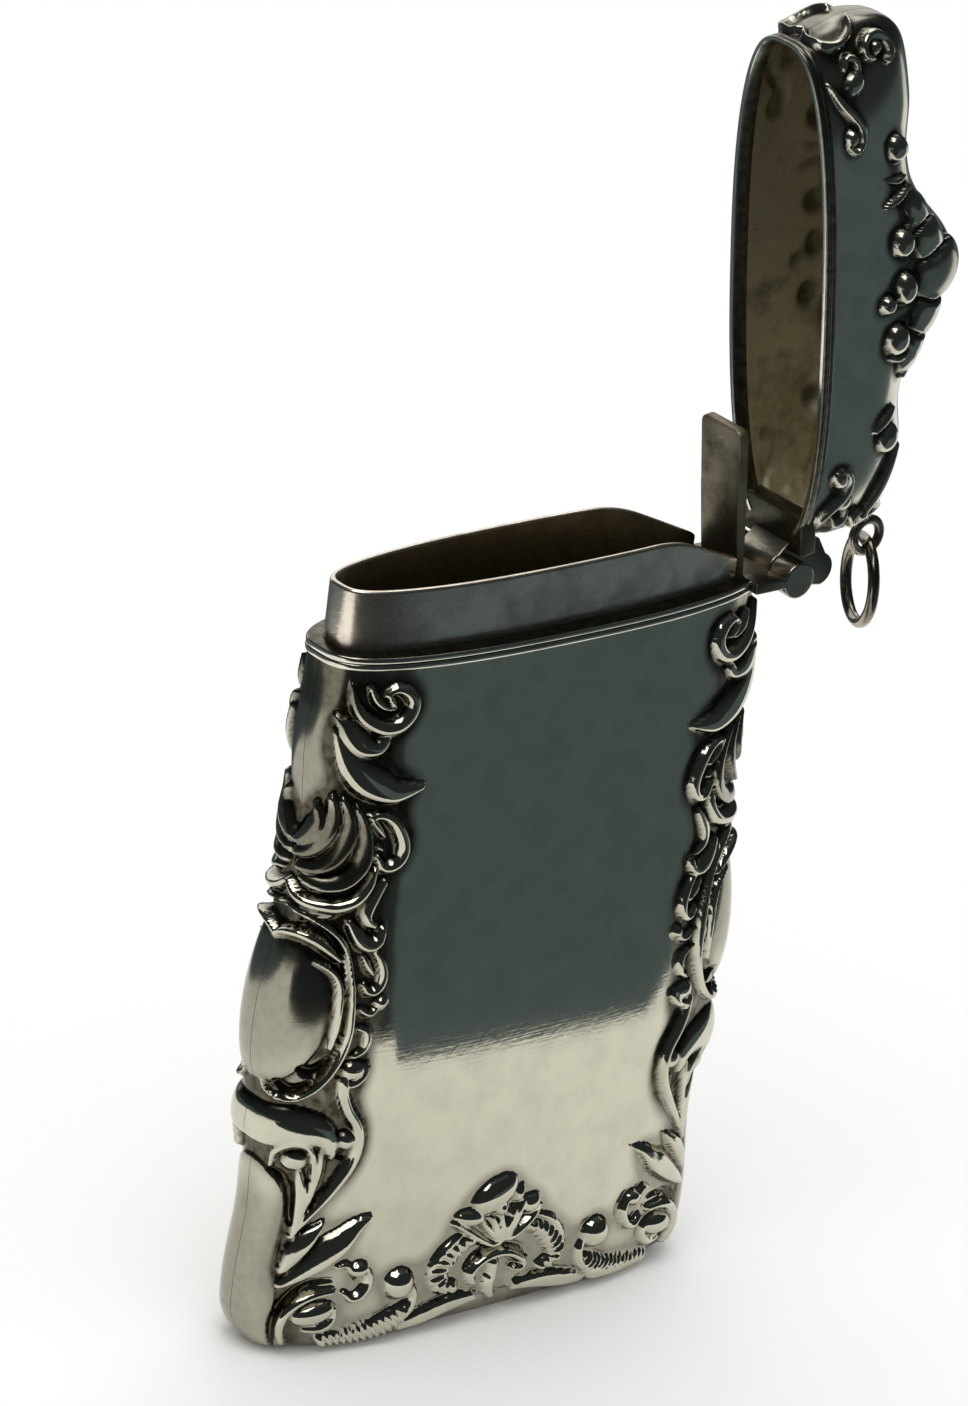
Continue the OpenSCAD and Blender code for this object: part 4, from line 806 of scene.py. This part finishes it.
def swing(bm):
    bmesh.ops.transform(bm, matrix=Matrix.Scale(MM, 4) @ swing_open, verts=bm.verts)


lid_gap = math.asin(((LEAF_LONG / 2 + KNUCKLE_GAP) / (END_DEPTH / 2 - SHEET)) ** (PLAN_POWER / 2))
inner_slope = [(-SHEET, 0.5), (-0.2, 0.105), (-0.12, 0.0)]
lid_profile = inner_slope + bead_line(SHEET)[1:]
lid_wire_silver = silver_finish(
    "lid_wire_silver", (0.85, 0.82, 0.72), (0.13, 0.125, 0.10), 0.25, 0.14, 0.15, with_tarnish_shade=True)
lid_moulding = sweep_rim("lid_rim_moulding_wire", lid_profile, [lid_gap] * len(lid_profile), MOUTH_Z,
                         [lid_wire_silver])
# painted reflection: the flat edge of the mouth is left polished and bright, while the wires and the slope
# get the dark tarnish colour for the dark room they mirror
for vert, spot in zip(lid_moulding.data.vertices, lid_moulding.data.attributes["recess"].data):
    spot.value = 0.0 if vert.co.z / MM < MOUTH_Z + 0.01 else 1.0
lid_moulding.data.transform(Matrix.Scale(MM, 4) @ swing_open @ Matrix.Scale(1 / MM, 4))
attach(lid_moulding, "lid")
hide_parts("lid_rim_moulding")

# Hinge leaf. The lid's barrel between the two on the case, with a lug up the end of the lid that finishes
# in a rounded boss, and a plate that closes the lid's mouth behind the lever; one casting, soldered in.
BOSS_UP, BOSS_OUT, BOSS = 3.7, 1.1, 2.6
PLATE_FROM, PLATE_TO, PLATE_HALF, PLATE_THICK = 17.3, 20.42, 3.3, 1.5
PLATE_LIFT, PLATE_SOFT, LEAF_PLAY = 0.08, 0.12, 0.05
leaf_edge = [(float(lid_half_wide(np.float64(HINGE_Z + h - MOUTH_Z))) + LEAF_PLAY - HINGE_X, h)
             for h in np.linspace(BOSS_UP, MOUTH_Z + LEAF_PLAY - HINGE_Z, 6)]


def pull_plate(line, wide):
    """A plate with the outline (out, up) from the hinge's axis, pulled to its width along the axis."""
    bm = bmesh.new()
    outline = bm.faces.new([bm.verts.new((HINGE_X + x, -wide / 2, HINGE_Z + h)) for x, h in line])
    pulled = bmesh.ops.extrude_face_region(bm, geom=[outline])
    moved = [v for v in pulled["geom"] if isinstance(v, bmesh.types.BMVert)]
    bmesh.ops.translate(bm, verts=moved, vec=(0, wide, 0))
    bmesh.ops.recalc_face_normals(bm, faces=bm.faces)
    return bm


barrel, knob = arc(0, 0, BARREL / 2, 190, 372, 30), arc(BOSS_OUT, BOSS_UP, BOSS / 2, 5, 150, 22)
bm = pull_plate(barrel + knob + leaf_edge, LEAF_LONG)
soften(bm, [e for e in bm.edges if lies_flat(e, 1)], BARREL_SOFT)
add_block(bm, (PLATE_FROM, -PLATE_HALF, MOUTH_Z + PLATE_LIFT),
          (PLATE_TO, PLATE_HALF, MOUTH_Z + PLATE_THICK), PLATE_SOFT)
add_grime_and_shade(bm)
swing(bm)
leaf = finish_piece("hinge_leaf", bm, 30, hinge_silver)
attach(leaf, "lid")
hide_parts("lid_hinge_leaf")

# Lever. A filed steel tongue on the leaf's barrel; it stands up when the lid is open, and the spring in the
# case presses on it.
LEVER_LONG, LEVER_DROP, LEVER_THICK, ARM_THICK = 12.7, 4.4, 0.8, 1.0
LEVER_WIDE, TONGUE_WIDE, TONGUE_FROM, ARM_TOP, STEP = 4.0, 4.5, 7.2, -1.05, 0.3
END_ROUND, EDGE_SOFT = 0.7, 0.13
lever_top, arm = -LEVER_DROP + LEVER_THICK, ARM_THICK / 2
bm = pull_plate([(arm, ARM_TOP), (-arm, ARM_TOP), (-arm, lever_top + STEP), (-arm - STEP, lever_top),
                 (-TONGUE_FROM, lever_top), (-TONGUE_FROM - STEP, lever_top), (-LEVER_LONG, lever_top),
                 (-LEVER_LONG, -LEVER_DROP), (-TONGUE_FROM - STEP, -LEVER_DROP), (-TONGUE_FROM, -LEVER_DROP),
                 (arm, -LEVER_DROP)], LEVER_WIDE)
wide_end = [v for v in bm.verts if v.co.x < HINGE_X - TONGUE_FROM - STEP / 2]
bmesh.ops.scale(bm, verts=wide_end, vec=(1, TONGUE_WIDE / LEVER_WIDE, 1))
soften(bm, [e for e in bm.edges if lies_flat(e, 1)
            and all(v.co.x < HINGE_X - LEVER_LONG + 0.01 for v in e.verts)], END_ROUND, 5)
soften(bm, [e for e in bm.edges if e.calc_face_angle(0) > 0.6], EDGE_SOFT)
swing(bm)
lever_steel = silver_finish("lever_steel", (0.36, 0.315, 0.22), (0.13, 0.105, 0.06), 0.9, 0.48, 0.9)
lever = finish_piece("spring_lever", bm, 30, lever_steel)
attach(lever, "lid")
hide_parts("lid_lever")

# Loop and hanging ring. Round silver wire: the loop is soldered into the corner of the lid with a small
# collar, and the ring hangs free in it for a watch chain.
LOOP, LOOP_WIRE, LOOP_OUT, LOOP_DOWN = 3.3, 0.75, 3.1, 1.4
RING, RING_WIRE, RING_TURN = 7.3, 0.9, 23.5


def wire_ring(bm, middle, axis, radius, wire):
    axis = Vector(axis).normalized()
    side = axis.orthogonal().normalized()
    turned = Matrix((side, axis, side.cross(axis))).transposed().to_4x4()
    place = Matrix.Translation(Vector(middle) + side * radius) @ turned
    made = bmesh.ops.create_circle(bm, segments=20, radius=wire / 2, matrix=place)
    bmesh.ops.spin(bm, geom=made["verts"] + list(edges_of(made)), cent=middle, axis=axis, angle=2 * math.pi,
                   steps=72, use_merge=True)


corner = Vector((CASE_WIDE / 2 - LID_CORNER, 0, MOUTH_Z + LID_TALL - LID_CORNER))
loop_mid = Vector((CASE_WIDE / 2 + LOOP_OUT, 0, MOUTH_Z + LID_TALL - LOOP_DOWN))
stem = (loop_mid - corner).normalized()
bm = bmesh.new()
wire_ring(bm, loop_mid, (0, 1, 0), (LOOP - LOOP_WIRE) / 2, LOOP_WIRE)
foot = loop_mid - stem * (LOOP / 2 - 0.1)
for radius, from_foot, to_foot in ((0.62, -2.0, 0.0), (0.95, -1.75, -1.05)):
    made = bmesh.ops.create_cone(bm, cap_ends=True, segments=28, radius1=radius, radius2=radius * 0.8,
                                 depth=to_foot - from_foot)
    made = soften(bm, [e for e in edges_of(made) if lies_flat(e, 2)], 0.1, 2)
    shape = list({v for f in made["faces"] for v in f.verts})
    bmesh.ops.transform(bm, verts=shape, matrix=Matrix.Translation(foot + stem * (from_foot + to_foot) / 2)
                        @ stem.to_track_quat("Z", "Y").to_matrix().to_4x4())
bmesh.ops.recalc_face_normals(bm, faces=bm.faces)
swing(bm)
loop = finish_piece("ring_loop_wire", bm, 40, hinge_silver)
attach(loop, "lid")
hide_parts("ring_loop")

ring_low, ring_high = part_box("suspension_ring")
bm = bmesh.new()
ring_normal = Matrix.Rotation(math.radians(-RING_TURN), 3, "Z") @ Vector((1, 0, 0))
wire_ring(bm, (ring_low + ring_high) / 2 / MM, ring_normal, (RING - RING_WIRE) / 2, RING_WIRE)
bmesh.ops.recalc_face_normals(bm, faces=bm.faces)
bmesh.ops.scale(bm, verts=bm.verts, vec=(MM, MM, MM))
ring_silver = silver_finish("ring_silver", (0.40, 0.36, 0.29), (0.05, 0.04, 0.025), 0.9, 0.12, 0.2)
ring = finish_piece("hanging_ring", bm, 60, ring_silver)
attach(ring, "ring")
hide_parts("suspension_ring")

# Camera at the photograph's place: from the left of the front and a little above, tipped to one side.
CAMERA_TURN, CAMERA_UP, CAMERA_TIP = math.radians(-41.4796), math.radians(23.3426), math.radians(7.19198)
CAMERA_FAR, CAMERA_AIM = 599.447, Vector((-3.7266, 0, 48.3963))
FOCAL_PIXELS, FRAME_PIXELS, SENSOR = 8334.04, 1406, 36
away = Vector((math.sin(CAMERA_TURN) * math.cos(CAMERA_UP), -math.cos(CAMERA_TURN) * math.cos(CAMERA_UP),
               math.sin(CAMERA_UP)))
right = Vector((math.cos(CAMERA_TURN), math.sin(CAMERA_TURN), 0))
upward = away.cross(right)
right, upward = (right * math.cos(CAMERA_TIP) + upward * math.sin(CAMERA_TIP),
                 upward * math.cos(CAMERA_TIP) - right * math.sin(CAMERA_TIP))
camera = bpy.data.objects.new("camera", bpy.data.cameras.new("camera"))
camera.data.lens = FOCAL_PIXELS / FRAME_PIXELS * SENSOR
camera.data.sensor_width = SENSOR
camera.data.clip_start, camera.data.clip_end = 0.01, 20
camera.matrix_world = (Matrix.Translation((CAMERA_AIM + away * CAMERA_FAR) * MM)
                       @ Matrix((right, upward, away)).transposed().to_4x4())
bpy.context.collection.objects.link(camera)
bpy.context.scene.camera = camera
bpy.context.scene.view_settings.view_transform = "Standard"

# Studio. A white floor, two big soft lamps overhead, and a dark room around the paper that only the
# polished metal shows, as when a shop photographs silver.
def plain_finish(name, colour, glow=None):
    finish = bpy.data.materials.new(name)
    finish.use_nodes = True
    shader = finish.node_tree.nodes["Principled BSDF"]
    shader.inputs["Base Color"].default_value = (*colour, 1)
    shader.inputs["Roughness"].default_value = 0.9
    shader.inputs["Specular IOR Level"].default_value = 0.0
    if glow:
        shader.inputs["Emission Color"].default_value = (*glow, 1)
        shader.inputs["Emission Strength"].default_value = 1.0
    return finish


def stage_plane(name, corners, finish):
    bm = bmesh.new()
    bm.faces.new([bm.verts.new(Vector(c) * MM) for c in corners])
    plane = set_piece(name, bm, [finish])
    return plane


ROOM_LEFT, ROOM_RIGHT, ROOM_FRONT, ROOM_BACK, ROOM_TALL = -1500, 1700, -700, 1200, 1500
FLOOR, CARD_UP, TABLE_LEFT, PAPER_BACK, BACK_TO = 6000, 0.4, -600, 88, -200
PAPER_Z, PAPER_TILT, CORNER_X, CORNER_TO = 22.6, 0.04, 12, 120
TABLE_CORNER, PAPER_CORNER = (TABLE_LEFT, -330), (-110, -75)


def level(x0, y0, x1, y1, z):
    return [(x0, y0, z), (x1, y0, z), (x1, y1, z), (x0, y1, z)]


def upright(x0, y0, x1, y1):
    return [(x0, y0, 0), (x1, y1, 0), (x1, y1, ROOM_TALL), (x0, y0, ROOM_TALL)]


stage_plane("floor", level(-FLOOR, -FLOOR, FLOOR, FLOOR, 0), plain_finish("floor_white", (0.94, 0.94, 0.93)))
# the dark cards glow faintly and only glossy rays see them: they paint the reflections of a dark table, room
# and ceiling in the metal
dark_table = plain_finish("dark_table", (0.0, 0.0, 0.0), (0.086, 0.115, 0.128))
dark_room = plain_finish("dark_room", (0.0, 0.0, 0.0), (0.026, 0.031, 0.033))
dim_ceiling = plain_finish("dim_ceiling", (0.0, 0.0, 0.0), (0.055, 0.065, 0.07))


def mirrored_on_floor(s, z):
    """The point of the floor that the camera sees mirrored in the panel at (s, z)."""
    step = np.array([[-0.1, 0.0, 0.1]] * 3)
    near = case_surface(s + step, z + step.T, 0)
    spot, normal = Vector(near[1, 1]), Vector(outward(near)[1, 1])
    sight = (CAMERA_AIM + away * CAMERA_FAR - spot).normalized()
    bounce = 2 * normal.dot(sight) * normal - sight
    return spot - bounce * spot.z / bounce.z


paper_edge = [mirrored_on_floor(s, PAPER_Z - PAPER_TILT * s) for s in (-11, -8, -4, 0, 4, 8, 11)]
dark_floor = ([(CORNER_X, paper_edge[0].y - 5)] + [(p.x, p.y) for p in paper_edge]
              + [(ROOM_RIGHT, paper_edge[-1].y - 20), (ROOM_RIGHT, ROOM_FRONT), (CORNER_TO, ROOM_FRONT)])
dark_corner = [TABLE_CORNER, PAPER_CORNER, dark_floor[0], dark_floor[-1], (TABLE_LEFT, ROOM_FRONT)]
for name, corners, finish in (
        ("dark_floor", [(x, y, CARD_UP) for x, y in dark_floor], dark_table),
        ("dark_corner", [(x, y, CARD_UP) for x, y in dark_corner], dark_room),
        ("dark_floor_back", level(ROOM_LEFT, PAPER_BACK, ROOM_RIGHT, ROOM_BACK, CARD_UP), dark_table),
        ("dark_front", upright(ROOM_LEFT, ROOM_FRONT, ROOM_RIGHT, ROOM_FRONT), dark_room),
        ("dark_left", upright(ROOM_LEFT, ROOM_BACK, ROOM_LEFT, ROOM_FRONT), dark_room),
        ("dark_back", upright(BACK_TO, ROOM_BACK, ROOM_LEFT, ROOM_BACK), dark_room),
        ("dark_right", upright(ROOM_RIGHT, ROOM_FRONT, ROOM_RIGHT, ROOM_BACK), dark_room),
        ("dark_ceiling", level(ROOM_LEFT, ROOM_FRONT, ROOM_RIGHT, ROOM_BACK, ROOM_TALL), dim_ceiling)):
    card = stage_plane(name, corners, finish)
    card.visible_camera = card.visible_diffuse = card.visible_shadow = False

world = bpy.data.worlds.new("studio")
bpy.context.scene.world = world
world.use_nodes = True
tree = world.node_tree
sky = tree.nodes["Background"]
rays = tree.nodes.new("ShaderNodeLightPath")
seen = add_node(tree, "ShaderNodeMath", operation="ADD",
                sockets={0: rays.outputs["Is Camera Ray"], 1: rays.outputs["Is Glossy Ray"]})
seen = add_node(tree, "ShaderNodeMath", operation="ADD", use_clamp=True,
                sockets={0: seen.outputs[0], 1: rays.outputs["Is Transmission Ray"]})
strength = add_node(tree, "ShaderNodeMapRange", sockets={0: seen.outputs[0], 3: 0.7, 4: 1.0})
sky.inputs["Color"].default_value = (1, 1, 1, 1)
tree.links.new(strength.outputs[0], sky.inputs["Strength"])

LAMP_AIM, LAMP_SIZE, LAMP_SHINE = Vector((0, 0, 30)), 520, 0.15
for name, place, power in (("soft_key", (-250, -150, 850), 2.5), ("soft_fill", (350, 300, 800), 1.5)):
    lamp = bpy.data.lights.new(name, "AREA")
    lamp.size, lamp.energy, lamp.specular_factor = LAMP_SIZE * MM, power, LAMP_SHINE
    holder = bpy.data.objects.new(name, lamp)
    holder.location = Vector(place) * MM
    holder.rotation_euler = (LAMP_AIM - Vector(place)).to_track_quat("-Z", "Y").to_euler()
    bpy.context.collection.objects.link(holder)
